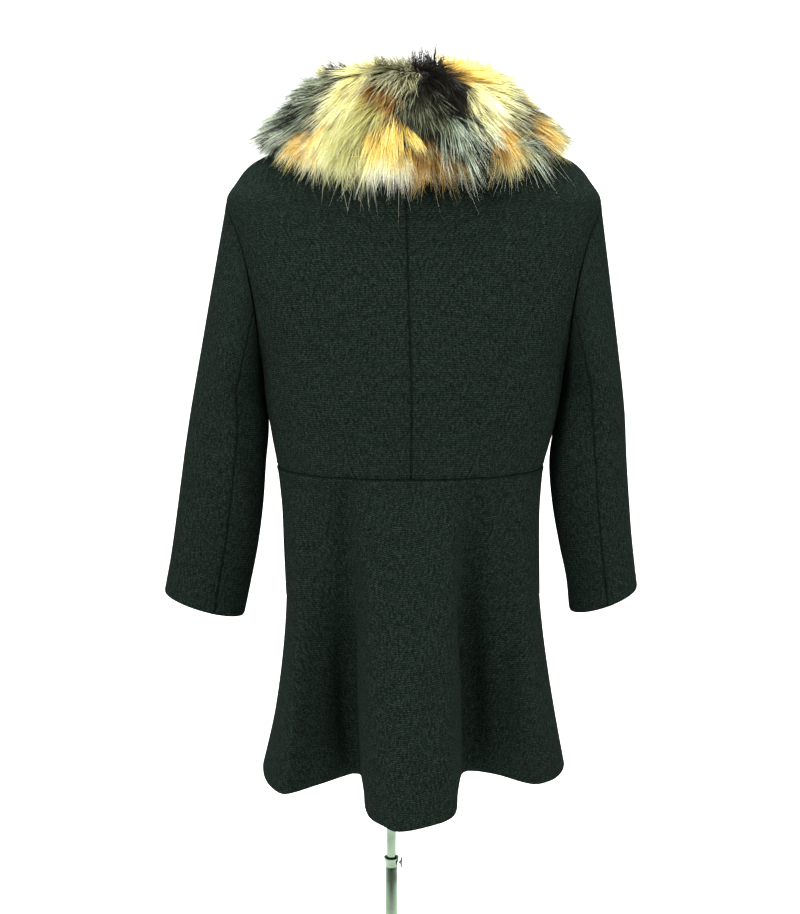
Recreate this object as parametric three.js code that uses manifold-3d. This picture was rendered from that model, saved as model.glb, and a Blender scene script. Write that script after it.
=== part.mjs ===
// A thigh-length fit-and-flare wool coat with a patchwork fur collar, fastened out of sight,
// worn by a limbless dress form on a telescoping chrome stand.
// Millimetres, +Z up. The origin is the middle of the base's underside, on the floor. The coat's back
// faces -y. The coat and the form are drawn about their own middle planes and then moved off the pole.
import * as THREE from "three";
import Module from "manifold-3d";
import { mergeVertices } from "three/addons/utils/BufferGeometryUtils.js";

// Driving dimensions
const CLOTH = 3; // double wool cloth with its interlining
const SEAM_GAP = 0.3;
const WAIST_Z = 1033;
const HEM_Z = 622;
const ARMPIT_Z = 1165;
const SHOULDER_Z = 1369;
const NECK_Z = 1447;
const FRONT_NECK_DROP = 25;
const FRONT_NECK_CURVE = 4; // more keeps the drop nearer to the middle
const ARMHOLE_REACH = 58; // how far the armhole runs back, and forward, of the side seam
const BACK_SEAM_LEAN = 12.5; // how far left of the middle the centre-back seam ends at the neck
const FRONT_LAP = 30; // how far each front runs past the middle
const LAP_CLEARANCE = 1.2;
const SQUARENESS = 2.4; // 2 is an ellipse; more fills the corners of a ring out
const COAT_X = 29; // the coat hangs a little to the right of the pole
const FORM_X = 15;

// Mesh counts
const BODICE_COLUMNS = 10;
const BODICE_ROWS_BELOW_ARMPIT = 5;
const ARMHOLE_ROWS = 10;
const SHOULDER_ROWS = 8;
const SKIRT_BACK_COLUMNS = 40;
const SKIRT_FRONT_COLUMNS = 19;
const SKIRT_ROWS = 12;
const SLEEVE_CAP_ROWS = 5;
const SLEEVE_ROWS = 9;
const COLLAR_COLUMNS = 44;
const ROUND_SIDES = 24;

// The bodice's rings: half of its width, how far its back and its front stand from the side
// seams, and how far the ring sits to the right.
const BODICE = [
  { z: 1033, half: 172, back: 130, front: 140, shift: -4 },
  { z: 1075, half: 181.5, back: 131, front: 148, shift: -2 },
  { z: 1120, half: 189, back: 133, front: 155, shift: -1 },
  { z: 1165, half: 194, back: 134, front: 158, shift: 0 },
  { z: 1220, half: 206, back: 133, front: 153, shift: 0 },
  { z: 1270, half: 218, back: 129, front: 142, shift: 0 },
  { z: 1320, half: 228, back: 121, front: 125, shift: 0 },
  { z: 1369, half: 236, back: 107, front: 105, shift: 0 },
  { z: 1394, half: 221, back: 96, front: 92, shift: 0 },
  { z: 1407, half: 211, back: 89, front: 84, shift: 0 },
  { z: 1419, half: 195, back: 82, front: 77, shift: 0 },
  { z: 1431, half: 164, back: 74, front: 71, shift: 0 },
  { z: 1441, half: 122, back: 67, front: 66, shift: 0 },
  { z: 1447, half: 86, back: 62, front: 62, shift: 0 },
];

// The skirt's folds, from the middle of the back round to the middle of the front: the angle at
// which each leaves the waist, and where it meets the hem.
const FOLDS_RIGHT = [
  { fold: "back crest", waist: 0, x: -6, y: -232 },
  { fold: "crest shoulder", waist: 5.5, x: 22, y: -216 },
  { fold: "crest edge", waist: 10.5, x: 41, y: -200 },
  { fold: "flank", waist: 14, x: 53, y: -175 },
  { fold: "foot of flank", waist: 17.5, x: 57, y: -115 },
  { fold: "valley", waist: 22, x: 65, y: -48 },
  { fold: "valley floor", waist: 28, x: 80, y: -36 },
  { fold: "rise", waist: 38, x: 110, y: -47 },
  { fold: "side lobe", waist: 50, x: 145, y: -76 },
  { fold: "lobe top", waist: 58, x: 163, y: -80 },
  { fold: "lobe edge", waist: 70, x: 188, y: -57 },
  { fold: "side seam", waist: 90, x: 203, y: -8 },
  { fold: "front lobe edge", waist: 108, x: 194, y: 48 },
  { fold: "front valley", waist: 125, x: 158, y: 86 },
  { fold: "front lobe", waist: 140, x: 118, y: 150 },
  { fold: "front lobe top", waist: 152, x: 82, y: 176 },
  { fold: "shallow valley", waist: 164, x: 46, y: 164 },
  { fold: "front middle", waist: 180, x: 0, y: 166 },
];
const FOLDS_LEFT = [
  { fold: "crest top", waist: -4, x: -24, y: -233 },
  { fold: "crest shoulder", waist: -9, x: -40, y: -215 },
  { fold: "crest edge", waist: -13, x: -54, y: -195 },
  { fold: "flank", waist: -16.5, x: -61, y: -167 },
  { fold: "foot of flank", waist: -20, x: -64, y: -111 },
  { fold: "valley", waist: -24.5, x: -71, y: -52 },
  { fold: "valley floor", waist: -31, x: -90, y: -54 },
  { fold: "rise", waist: -40, x: -120, y: -80 },
  { fold: "side lobe", waist: -54, x: -161, y: -114 },
  { fold: "lobe top", waist: -61, x: -176, y: -107 },
  { fold: "lobe edge", waist: -72, x: -194, y: -69 },
  { fold: "side seam", waist: -90, x: -203, y: -12 },
  { fold: "front lobe edge", waist: -107, x: -196, y: 44 },
  { fold: "front valley", waist: -124, x: -160, y: 82 },
  { fold: "front lobe", waist: -139, x: -122, y: 146 },
  { fold: "front lobe top", waist: -151, x: -86, y: 174 },
  { fold: "shallow valley", waist: -163, x: -48, y: 166 },
];
// How far each side of the skirt is drawn in, by the share of its length below the waist
const HIP_DRAW = [
  { share: 0, left: 0, right: 0 },
  { share: 0.2, left: 7.5, right: 4.5 },
  { share: 0.5, left: 10, right: 1.5 },
  { share: 0.8, left: 8.5, right: 0 },
  { share: 1, left: 2, right: 0 },
];
const FLARE_START = 0.42; // share of the skirt's length that hangs straight at the sides
const FLARE_POWER = 1.4;
const BILLOW_POWER = 1.2;

// The sleeves' rings from upper arm to cuff: middle, half width and half depth, how far the ring
// leans, and how far the seams have turned round the arm.
const SLEEVES = {
  left: [
    { z: 838, x: 278.5, y: 26, wide: 55.5, deep: 49, lean: 17, turn: 2 },
    { z: 885, x: 268.2, y: 20, wide: 55.5, deep: 52, lean: 14, turn: 0 },
    { z: 930, x: 259.4, y: 14, wide: 56, deep: 55, lean: 12, turn: 0 },
    { z: 985, x: 251, y: 9, wide: 55.5, deep: 58, lean: 11, turn: 0 },
    { z: 1040, x: 244.4, y: 6, wide: 53.5, deep: 61, lean: 11, turn: 0 },
    { z: 1090, x: 238.8, y: 4, wide: 50.5, deep: 64, lean: 10, turn: 0 },
    { z: 1135, x: 236.6, y: 2, wide: 44, deep: 67, lean: 10, turn: 0 },
  ],
  right: [
    { z: 843, x: 254.5, y: 30, wide: 48, deep: 51, lean: 20, turn: -18 },
    { z: 885, x: 248.6, y: 23, wide: 46.7, deep: 53, lean: 16, turn: -18 },
    { z: 930, x: 240.2, y: 16, wide: 48.4, deep: 56, lean: 12, turn: -20 },
    { z: 985, x: 232, y: 10, wide: 50.5, deep: 59, lean: 9, turn: -22 },
    { z: 1040, x: 227.2, y: 6, wide: 50.2, deep: 62, lean: 7, turn: -22 },
    { z: 1090, x: 229, y: 4, wide: 45, deep: 64, lean: 7, turn: -14 },
    { z: 1135, x: 230, y: 2, wide: 38.6, deep: 67, lean: 7, turn: -6 },
  ],
};
const SLEEVE_BACK_SEAM = 6; // counted in ring points from the shoulder, down the back
const SLEEVE_FRONT_SEAM = 14;
const CAP_BULGE = 7;
const ARMHOLE_GAP = 0.6; // the sleeve's share of the gap at the armhole, where its edge is bulky

// The pocket in each side seam: how far its lip stands off at its free edge
const POCKET = { top: 0.12, foot: 0.43, leftGape: 4.5, rightGape: 3 };

// The collar's cross-section at the back, the side and the front: distance out from the neck's
// axis and height, going up the inside, over the ridge and down to where the fur ends. The last
// spot is inside the bodice, whose shape is cut out of the collar.
const COLLAR_STATIONS = {
  back: [
    { spot: "inner foot", out: 62, z: 1452 },
    { spot: "inner wall", out: 62, z: 1486 },
    { spot: "inner lip", out: 73, z: 1522 },
    { spot: "ridge", out: 96, z: 1546 },
    { spot: "shoulder", out: 126, z: 1524 },
    { spot: "outer wall", out: 147, z: 1476 },
    { spot: "outer skirt", out: 156, z: 1420 },
    { spot: "edge", out: 150, z: 1380 },
    { spot: "under edge", out: 122, z: 1370 },
    { spot: "inside the bodice", out: 50, z: 1400 },
  ],
  side: [
    { spot: "inner foot", out: 80, z: 1452 },
    { spot: "inner wall", out: 80, z: 1486 },
    { spot: "inner lip", out: 88, z: 1520 },
    { spot: "ridge", out: 104, z: 1536 },
    { spot: "shoulder", out: 133, z: 1512 },
    { spot: "outer wall", out: 158, z: 1484 },
    { spot: "outer skirt", out: 185, z: 1458 },
    { spot: "edge", out: 192, z: 1438 },
    { spot: "under edge", out: 184, z: 1426 },
    { spot: "inside the bodice", out: 70, z: 1410 },
  ],
  front: [
    { spot: "inner foot", out: 66, z: 1430 },
    { spot: "inner wall", out: 70, z: 1456 },
    { spot: "inner lip", out: 82, z: 1482 },
    { spot: "ridge", out: 104, z: 1492 },
    { spot: "shoulder", out: 134, z: 1466 },
    { spot: "outer wall", out: 156, z: 1416 },
    { spot: "outer skirt", out: 166, z: 1360 },
    { spot: "edge", out: 160, z: 1318 },
    { spot: "under edge", out: 138, z: 1308 },
    { spot: "inside the bodice", out: 50, z: 1340 },
  ],
};
const COLLAR_CLEARANCE = 1.2; // sideways from the bodice
const COLLAR_LIFT = 0.4; // upwards from it
const COLLAR_FRONT_GAP = 3; // degrees that each end stops short of the middle of the front
const COLLAR_SLOUCH = 7; // how far its ridge leans to the left
const TUFT_HEIGHT = 5;
const TUFTS_ROUND = 17;

// The dress form: rings from its foot to the top of its neck.
const FORM = [
  { z: 905, half: 118, back: 80, front: 78 },
  { z: 912, half: 133, back: 92, front: 88 },
  { z: 940, half: 145, back: 103, front: 96 },
  { z: 975, half: 146, back: 104, front: 97 },
  { z: 1015, half: 130, back: 88, front: 92 },
  { z: 1050, half: 118, back: 76, front: 90 },
  { z: 1100, half: 126, back: 82, front: 100 },
  { z: 1150, half: 138, back: 92, front: 118 },
  { z: 1195, half: 146, back: 98, front: 124 },
  { z: 1245, half: 154, back: 100, front: 110 },
  { z: 1300, half: 164, back: 98, front: 94 },
  { z: 1348, half: 173, back: 84, front: 80 },
  { z: 1386.2, half: 173.4, back: 68, front: 64 },
  { z: 1407.2, half: 164.4, back: 59, front: 56 },
  { z: 1420.7, half: 147.4, back: 54, front: 52 },
  { z: 1429.7, half: 123.4, back: 51, front: 50 },
  { z: 1437.6, half: 93.4, back: 49, front: 49 },
  { z: 1445, half: 64, back: 48, front: 49 },
  { z: 1458, half: 52, back: 46, front: 48 },
  { z: 1492, half: 49, back: 45, front: 48 },
];
const NECK_CAP_HEIGHT = 10;

// The stand
const BASE_RADIUS = 190;
const BASE_THICKNESS = 6;
const BOSS_RADIUS = 17;
const BOSS_TOP = 42;
const TUBE_RADIUS = 8.2;
const TUBE_BORE = 6.95;
const TUBE_TOP = 474;
const ROD_RADIUS = 6.5;
const ROD_FOOT = 200;
const CLAMP_HEIGHT = 13;
const CLAMP_FLARE = 2.4;
const SCREW_HEIGHT = 5.5; // above the tube's mouth
const SCREW = { stem: 2, start: 9.5, radius: 7.8, thickness: 2.6, out: 12.4 };

const CLOTH_LOOK = { color: 0x212c26, roughness: 0.95, metalness: 0 };
const FUR_LOOK = { color: 0xb79a6b, roughness: 1, metalness: 0 };
const JERSEY_LOOK = { color: 0xe4ddcf, roughness: 0.9, metalness: 0 };
const CHROME_LOOK = { color: 0xc4c9c2, roughness: 0.2, metalness: 1 };

const wasm = await Module();
wasm.setup();

// Small maths

const RIGHT_ANGLE = Math.PI / 2;
const radians = (degrees) => (degrees * Math.PI) / 180;
const clamp01 = (t) => Math.min(1, Math.max(0, t));
const smooth = (t) => clamp01(t) ** 2 * (3 - 2 * clamp01(t));
const mix = (a, b, t) => a + (b - a) * t;
const signedPower = (value, power) => Math.sign(value) * Math.abs(value) ** power;

// One column of a table, smoothly read at a place between its rows. Rows rise by their key.
function readTable(table, key, column, at) {
  const last = table.length - 1;
  const place = Math.min(Math.max(at, table[0][key]), table[last][key]);
  let i = 0;
  while (i < last - 1 && table[i + 1][key] < place) i += 1;
  const slope = (row) => {
    const before = table[Math.max(row - 1, 0)];
    const after = table[Math.min(row + 1, last)];
    return (after[column] - before[column]) / (after[key] - before[key]);
  };
  const span = table[i + 1][key] - table[i][key];
  const t = (place - table[i][key]) / span;
  const [t2, t3] = [t * t, t * t * t];
  return (
    (2 * t3 - 3 * t2 + 1) * table[i][column] +
    (t3 - 2 * t2 + t) * span * slope(i) +
    (3 * t2 - 2 * t3) * table[i + 1][column] +
    (t3 - t2) * span * slope(i + 1)
  );
}

// A point of a ring. The angle is 0 at the middle of the back, 90 degrees at the right side seam
// and 180 at the middle of the front; the left side is negative.
function ringPoint(table, z, angle) {
  const power = 2 / SQUARENESS;
  const [s, c] = [Math.sin(angle), Math.cos(angle)];
  const shift = "shift" in table[0] ? readTable(table, "z", "shift", z) : 0;
  const depth = readTable(table, "z", c > 0 ? "back" : "front", z);
  return new THREE.Vector3(
    shift + readTable(table, "z", "half", z) * signedPower(s, power),
    -depth * signedPower(c, power),
    z,
  );
}

// Walls of cloth

// The sum of the face normals round each point, shared by every panel that holds the point.
function gatherNormals(panels) {
  const normals = new Map();
  for (const { grid, mirrored } of panels) {
    for (let r = 0; r < grid.length - 1; r += 1) {
      for (let c = 0; c < grid[r].length - 1; c += 1) {
        const corners = [grid[r][c], grid[r][c + 1], grid[r + 1][c + 1], grid[r + 1][c]];
        const across = corners[2].clone().sub(corners[0]);
        const normal = across.cross(corners[3].clone().sub(corners[1]));
        if (mirrored) normal.negate();
        for (const corner of corners) {
          const key = pointKey(corner);
          if (!normals.has(key)) normals.set(key, new THREE.Vector3());
          normals.get(key).add(normal);
        }
      }
    }
  }
  normals.forEach((normal) => normal.normalize());
  return normals;
}

const pointKey = (p) => [p.x, p.y, p.z].map((v) => Math.round(v * 50)).join(" ");

// Where a sleeve and the body meet and face much the same way, both walls end on one mitre.
function mitreSeam(bodyNormals, sleeveNormals) {
  const sameWay = 0.3;
  for (const [key, sleeveNormal] of sleeveNormals) {
    const bodyNormal = bodyNormals.get(key);
    if (!bodyNormal || bodyNormal.dot(sleeveNormal) < sameWay) continue;
    const shared = bodyNormal.clone().add(sleeveNormal).normalize();
    bodyNormal.copy(shared);
    sleeveNormal.copy(shared);
  }
}

// The panel's points with its four edges drawn in by half of the seam gap, square to each edge.
function drawnIn(grid, topGap) {
  const [lastRow, lastColumn] = [grid.length - 1, grid[0].length - 1];
  const within = (i, last) => Math.min(Math.max(i, 0), last);
  const at = (r, c) => grid[within(r, lastRow)][within(c, lastColumn)];
  const inward = (p, neighbour, before, after, step = SEAM_GAP / 2) => {
    const along = after.clone().sub(before).normalize();
    const away = neighbour.clone().sub(p);
    away.addScaledVector(along, -away.dot(along));
    return away.normalize().multiplyScalar(step);
  };
  return grid.map((row, r) =>
    row.map((p, c) => {
      const moved = p.clone();
      if (r === 0) moved.add(inward(p, at(1, c), at(r, c - 1), at(r, c + 1)));
      if (r === lastRow) moved.add(inward(p, at(r - 1, c), at(r, c - 1), at(r, c + 1), topGap));
      if (c === 0) moved.add(inward(p, at(r, 1), at(r - 1, c), at(r + 1, c)));
      if (c === lastColumn) moved.add(inward(p, at(r, c - 1), at(r - 1, c), at(r + 1, c)));
      return moved;
    }),
  );
}

// A closed wall: the grid outside, its points moved in by the cloth inside, and the four edges.
function wallGeometry({ grid, mirrored, thickness, topGap }, normals) {
  const outer = drawnIn(grid, topGap);
  const inner = outer.map((row, r) =>
    row.map((p, c) => p.clone().addScaledVector(normals.get(pointKey(grid[r][c])), -thickness)),
  );
  const [rows, columns] = [grid.length, grid[0].length];
  const points = [...outer.flat(), ...inner.flat()];
  const faces = [];
  const outside = (r, c) => r * columns + c;
  const inside = (r, c) => rows * columns + outside(r, c);
  const quad = (a, b, c, d) => {
    if (mirrored) faces.push(a, c, b, a, d, c);
    else faces.push(a, b, c, a, c, d);
  };
  for (let r = 0; r < rows - 1; r += 1) {
    for (let c = 0; c < columns - 1; c += 1) {
      quad(outside(r, c), outside(r, c + 1), outside(r + 1, c + 1), outside(r + 1, c));
      quad(inside(r + 1, c), inside(r + 1, c + 1), inside(r, c + 1), inside(r, c));
    }
  }
  for (let c = 0; c < columns - 1; c += 1) {
    quad(inside(0, c), inside(0, c + 1), outside(0, c + 1), outside(0, c));
    quad(outside(rows - 1, c), outside(rows - 1, c + 1), inside(rows - 1, c + 1), inside(rows - 1, c));
  }
  for (let r = 0; r < rows - 1; r += 1) {
    quad(outside(r, 0), outside(r + 1, 0), inside(r + 1, 0), inside(r, 0));
    const c = columns - 1;
    quad(inside(r, c), inside(r + 1, c), outside(r + 1, c), outside(r, c));
  }
  return meshGeometry(points, faces);
}

function meshGeometry(points, faces) {
  const geometry = new THREE.BufferGeometry();
  geometry.setAttribute(
    "position",
    new THREE.Float32BufferAttribute(points.flatMap((p) => [p.x, p.y, p.z]), 3),
  );
  geometry.setIndex(faces);
  geometry.computeVertexNormals();
  return geometry;
}

function toSolid(geometry) {
  const bare = geometry.clone();
  bare.deleteAttribute("normal");
  const merged = mergeVertices(bare);
  return new wasm.Manifold(
    new wasm.Mesh({
      numProp: 3,
      vertProperties: new Float32Array(merged.attributes.position.array),
      triVerts: new Uint32Array(merged.index.array),
    }),
  );
}

function fromSolid(solid) {
  const { numProp, vertProperties, triVerts } = solid.getMesh();
  const points = [];
  for (let i = 0; i < vertProperties.length; i += numProp) {
    points.push(new THREE.Vector3(...vertProperties.subarray(i, i + 3)));
  }
  return meshGeometry(points, [...triVerts]);
}

// A closed body through a row of closed rings, with a flat fan over each end.
function loftGeometry(rings) {
  const around = rings[0].length;
  const points = rings.flat();
  const faces = [];
  for (let r = 0; r < rings.length - 1; r += 1) {
    for (let k = 0; k < around; k += 1) {
      const [a, b] = [r * around + k, r * around + ((k + 1) % around)];
      faces.push(a, b, b + around, a, b + around, a + around);
    }
  }
  [0, rings.length - 1].forEach((end) => {
    const middle = new THREE.Vector3();
    rings[end].forEach((p) => middle.addScaledVector(p, 1 / around));
    points.push(middle);
    for (let k = 0; k < around; k += 1) {
      const [a, b] = [end * around + k, end * around + ((k + 1) % around)];
      faces.push(points.length - 1, ...(end === 0 ? [b, a] : [a, b]));
    }
  });
  return meshGeometry(points, faces);
}

// Bodice

// Rows are close together near the armpit and the shoulder, so that they also fit the sleeve.
function bodiceRows() {
  const rows = [];
  for (let i = 0; i < BODICE_ROWS_BELOW_ARMPIT; i += 1) {
    rows.push(mix(WAIST_Z, ARMPIT_Z, i / BODICE_ROWS_BELOW_ARMPIT));
  }
  for (let k = ARMHOLE_ROWS; k >= 0; k -= 1) rows.push(armholeHeight(k));
  return rows;
}

// The height of the armhole's point k, counted from the shoulder down.
function armholeHeight(k) {
  const turn = Math.cos((Math.PI * k) / ARMHOLE_ROWS);
  return mix(ARMPIT_Z, SHOULDER_Z, (1 + turn) / 2);
}

// The angle at which a ring of the bodice ends at the side: the side or shoulder seam, or the
// edge of the armhole between them.
function sideAngle(z, face) {
  if (z <= ARMPIT_Z || z >= SHOULDER_Z) return RIGHT_ANGLE;
  const q = (2 * z - ARMPIT_Z - SHOULDER_Z) / (SHOULDER_Z - ARMPIT_Z);
  const reach = ARMHOLE_REACH * Math.sqrt(Math.max(0, 1 - q * q));
  const depth = readTable(BODICE, "z", face, z);
  const fromMiddle = Math.acos((reach / depth) ** (SQUARENESS / 2));
  return face === "back" ? fromMiddle : Math.PI - fromMiddle;
}

function lapAngle(z) {
  const half = readTable(BODICE, "z", "half", z);
  return Math.PI + Math.asin((FRONT_LAP / half) ** (SQUARENESS / 2));
}

// The centre-back seam runs up and a little to the left.
function backSeamAngle(z) {
  const lean = BACK_SEAM_LEAN * clamp01((z - WAIST_Z) / (NECK_Z - WAIST_Z));
  const half = readTable(BODICE, "z", "half", z);
  return -Math.asin((lean / half) ** (SQUARENESS / 2));
}

function backPanel(side) {
  const shoulderSteps = Array.from({ length: SHOULDER_ROWS }, (_, i) =>
    mix(SHOULDER_Z, NECK_Z, (i + 1) / SHOULDER_ROWS),
  );
  const grid = [...bodiceRows(), ...shoulderSteps].map((z) =>
    Array.from({ length: BODICE_COLUMNS + 1 }, (_, c) =>
      ringPoint(BODICE, z, mix(backSeamAngle(z), side * sideAngle(z, "back"), c / BODICE_COLUMNS)),
    ),
  );
  return { grid, mirrored: side < 0, thickness: CLOTH };
}

// The right front lies over the left one, which is pushed in under it by one cloth.
function tuckUnder(point, side) {
  if (side > 0) return point;
  const [clear, flush] = [FRONT_LAP + 8, FRONT_LAP + 42];
  const under = smooth((point.x + flush) / (flush - clear));
  point.y -= under * (CLOTH + LAP_CLEARANCE);
  return point;
}

function frontPanel(side) {
  const frontPoint = (z, u) => {
    const angle = mix(lapAngle(z), sideAngle(z, "front"), u);
    return tuckUnder(ringPoint(BODICE, z, side * angle), side);
  };
  const columns = Array.from({ length: BODICE_COLUMNS + 1 }, (_, c) => c / BODICE_COLUMNS);
  const grid = bodiceRows().map((z) => columns.map((u) => frontPoint(z, u)));
  for (let i = 1; i <= SHOULDER_ROWS; i += 1) {
    const share = i / SHOULDER_ROWS;
    grid.push(
      columns.map((u) => {
        const top = NECK_Z - FRONT_NECK_DROP * (1 - u) ** FRONT_NECK_CURVE;
        return frontPoint(mix(SHOULDER_Z, top, share), u);
      }),
    );
  }
  return { grid, mirrored: side > 0, thickness: CLOTH };
}

// Skirt

const FOLDS = [...FOLDS_LEFT].reverse().concat(FOLDS_RIGHT);
const FOLD_RING = [
  ...FOLDS.slice(-3, -1).map((row) => ({ ...row, waist: row.waist - 360 })),
  { ...FOLDS[FOLDS.length - 1], waist: -180 },
  ...FOLDS,
  ...FOLDS.slice(0, 2).map((row) => ({ ...row, waist: row.waist + 360 })),
];

const hemPlace = (degrees) => ({
  x: readTable(FOLD_RING, "waist", "x", degrees),
  y: readTable(FOLD_RING, "waist", "y", degrees),
});

// Waist angles from one to another whose points stand equally far apart along the hem.
function evenAngles(from, to, count) {
  const fine = 400;
  const lengths = [0];
  let before = hemPlace(from);
  for (let i = 1; i <= fine; i += 1) {
    const here = hemPlace(mix(from, to, i / fine));
    lengths.push(lengths[i - 1] + Math.hypot(here.x - before.x, here.y - before.y));
    before = here;
  }
  return Array.from({ length: count + 1 }, (_, c) => {
    const wanted = (lengths[fine] * c) / count;
    let i = lengths.findIndex((length) => length >= wanted - 1e-9);
    i = Math.max(i, 1);
    const part = (wanted - lengths[i - 1]) / (lengths[i] - lengths[i - 1]);
    return mix(from, to, (i - 1 + part) / fine);
  });
}

// A point of the skirt at a share of its length below the waist.
function skirtPoint(degrees, share) {
  const waist = ringPoint(BODICE, WAIST_Z, radians(degrees));
  const hem = hemPlace(degrees);
  const flare = clamp01((share - FLARE_START) / (1 - FLARE_START)) ** FLARE_POWER;
  const billow = share ** BILLOW_POWER;
  const across = Math.sin(radians(degrees));
  const draw = readTable(HIP_DRAW, "share", across < 0 ? "left" : "right", share) * across ** 4;
  return new THREE.Vector3(
    mix(waist.x, hem.x, flare) - Math.sign(across) * draw,
    mix(waist.y, hem.y, billow),
    mix(WAIST_Z, HEM_Z, share),
  );
}

function skirtPanel(angles, side, mirrored) {
  const grid = Array.from({ length: SKIRT_ROWS + 1 }, (_, r) => {
    const share = 1 - r / SKIRT_ROWS;
    return angles.map((degrees) => {
      const point = skirtPoint(degrees, share);
      return side < 0 ? tuckUnder(point, side) : point;
    });
  });
  return { grid, mirrored, thickness: CLOTH };
}

function skirtFront(side) {
  const lap = (lapAngle(WAIST_Z) * 180) / Math.PI;
  const angles = evenAngles(side * lap, side * 90, SKIRT_FRONT_COLUMNS);
  return skirtPanel(angles, side, side > 0);
}

// The lip of the pocket in each side seam: a strip of the skirt front, moved out.
function pocketLip(side) {
  const [rows, columns, firstDegree, turn] = [8, 3, 90.6, 7];
  const gape = side < 0 ? POCKET.leftGape : POCKET.rightGape;
  const grid = Array.from({ length: rows + 1 }, (_, r) => {
    const share = mix(POCKET.foot, POCKET.top, r / rows);
    const open = Math.sin((Math.PI * r) / rows);
    return Array.from({ length: columns + 1 }, (__, c) => {
      const point = skirtPoint(side * (firstDegree + (turn * c) / columns), share);
      const away = CLOTH / 2 + 2 * SEAM_GAP + gape * open * (1 - c / columns);
      point.x += side * away;
      return point;
    });
  });
  return { grid, mirrored: side < 0, thickness: CLOTH / 2 };
}

// Sleeves

// The armhole's point k: 0 at the shoulder, ARMHOLE_ROWS at the armpit, then up the front.
function armholePoint(side, k) {
  const face = k <= ARMHOLE_ROWS ? "back" : "front";
  const z = armholeHeight(k <= ARMHOLE_ROWS ? k : 2 * ARMHOLE_ROWS - k);
  return ringPoint(BODICE, z, side * sideAngle(z, face));
}

function sleeveRingPoint(table, side, z, k) {
  const read = (column) => readTable(table, "z", column, z);
  const around = (Math.PI * k) / ARMHOLE_ROWS + radians(read("turn"));
  const lean = radians(read("lean"));
  const across = read("wide") * Math.cos(around);
  return new THREE.Vector3(
    side * (read("x") + across * Math.cos(lean)),
    read("y") - read("deep") * Math.sin(around),
    z + across * Math.sin(lean),
  );
}

// A strip of the sleeve between two seams. Its first rows spread the armhole out to the arm.
function sleevePanel(name, side, fromPoint, toPoint) {
  const table = SLEEVES[name];
  const [cuffZ, upperZ] = [table[0].z, table[table.length - 1].z];
  const rows = [];
  for (let r = 0; r <= SLEEVE_ROWS; r += 1) {
    const z = mix(cuffZ, upperZ, r / SLEEVE_ROWS);
    rows.push((k) => sleeveRingPoint(table, side, z, k));
  }
  for (let r = 1; r <= SLEEVE_CAP_ROWS; r += 1) {
    const share = r / SLEEVE_CAP_ROWS;
    rows.push((k) => {
      const point = sleeveRingPoint(table, side, upperZ, k).lerp(armholePoint(side, k), share);
      const around = (Math.PI * k) / ARMHOLE_ROWS;
      const bulge = CAP_BULGE * Math.sin(Math.PI * share) * Math.sin(around);
      point.y -= bulge;
      return point;
    });
  }
  const points = Array.from(
    { length: toPoint - fromPoint + 1 },
    (_, c) => (fromPoint + c) % (2 * ARMHOLE_ROWS),
  );
  const grid = rows.map((place) => points.map(place));
  return { grid, mirrored: side > 0, thickness: CLOTH, topGap: ARMHOLE_GAP };
}

// Collar

function stationMix(angle, pick) {
  const side = Math.sin(angle) ** 2;
  const face = Math.cos(angle) > 0 ? "back" : "front";
  return mix(pick(face), pick("side"), side);
}

// One slice of the collar: the fur's outline over the top, shaggy where the tufts are.
function collarSlice(angle) {
  const outward = ringPoint(BODICE, NECK_Z, angle).setZ(0).normalize();
  const tuft = TUFT_HEIGHT * Math.sin(TUFTS_ROUND * angle);
  const [firstShaggy, lastShaggy] = [3, 7];
  return COLLAR_STATIONS.back.map((_, i) => {
    const out = stationMix(angle, (station) => COLLAR_STATIONS[station][i].out);
    const z = stationMix(angle, (station) => COLLAR_STATIONS[station][i].z);
    const inTufts = i >= firstShaggy && i <= lastShaggy;
    const shaggy = inTufts ? tuft * (i % 2 === 0 ? 1 : -0.7) : 0;
    const point = outward.clone().multiplyScalar(out + shaggy).setZ(z + shaggy / 2);
    point.x -= COLLAR_SLOUCH * smooth((z - 1430) / 90);
    return point;
  });
}

// The bodice filled in and grown by the clearance, which the collar is cut by.
function bodiceFilled() {
  const [sides, rings, foot] = [56, 18, 1250];
  const grown = BODICE.map((row) => ({
    ...row,
    half: row.half + COLLAR_CLEARANCE,
    back: row.back + COLLAR_CLEARANCE,
    front: row.front + COLLAR_CLEARANCE,
  }));
  return loftGeometry(
    Array.from({ length: rings + 1 }, (_, r) => {
      const z = mix(foot, NECK_Z, r / rings);
      return Array.from({ length: sides }, (__, k) => {
        const point = ringPoint(grown, z, (2 * Math.PI * k) / sides);
        return point.setZ(z + COLLAR_LIFT);
      });
    }),
  );
}

function furCollar() {
  const end = Math.PI - radians(COLLAR_FRONT_GAP);
  const slices = Array.from({ length: COLLAR_COLUMNS + 1 }, (_, c) =>
    collarSlice(mix(-end, end, c / COLLAR_COLUMNS)),
  );
  const fur = toSolid(loftGeometry(slices));
  const cut = fur.subtract(toSolid(bodiceFilled()));
  return fromSolid(cut);
}

// Dress form and stand

function dressForm() {
  const rings = FORM.map(({ z }) =>
    Array.from({ length: ROUND_SIDES + 8 }, (_, k) =>
      ringPoint(FORM, z, (2 * Math.PI * k) / (ROUND_SIDES + 8)),
    ),
  );
  return loftGeometry(rings);
}

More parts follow.
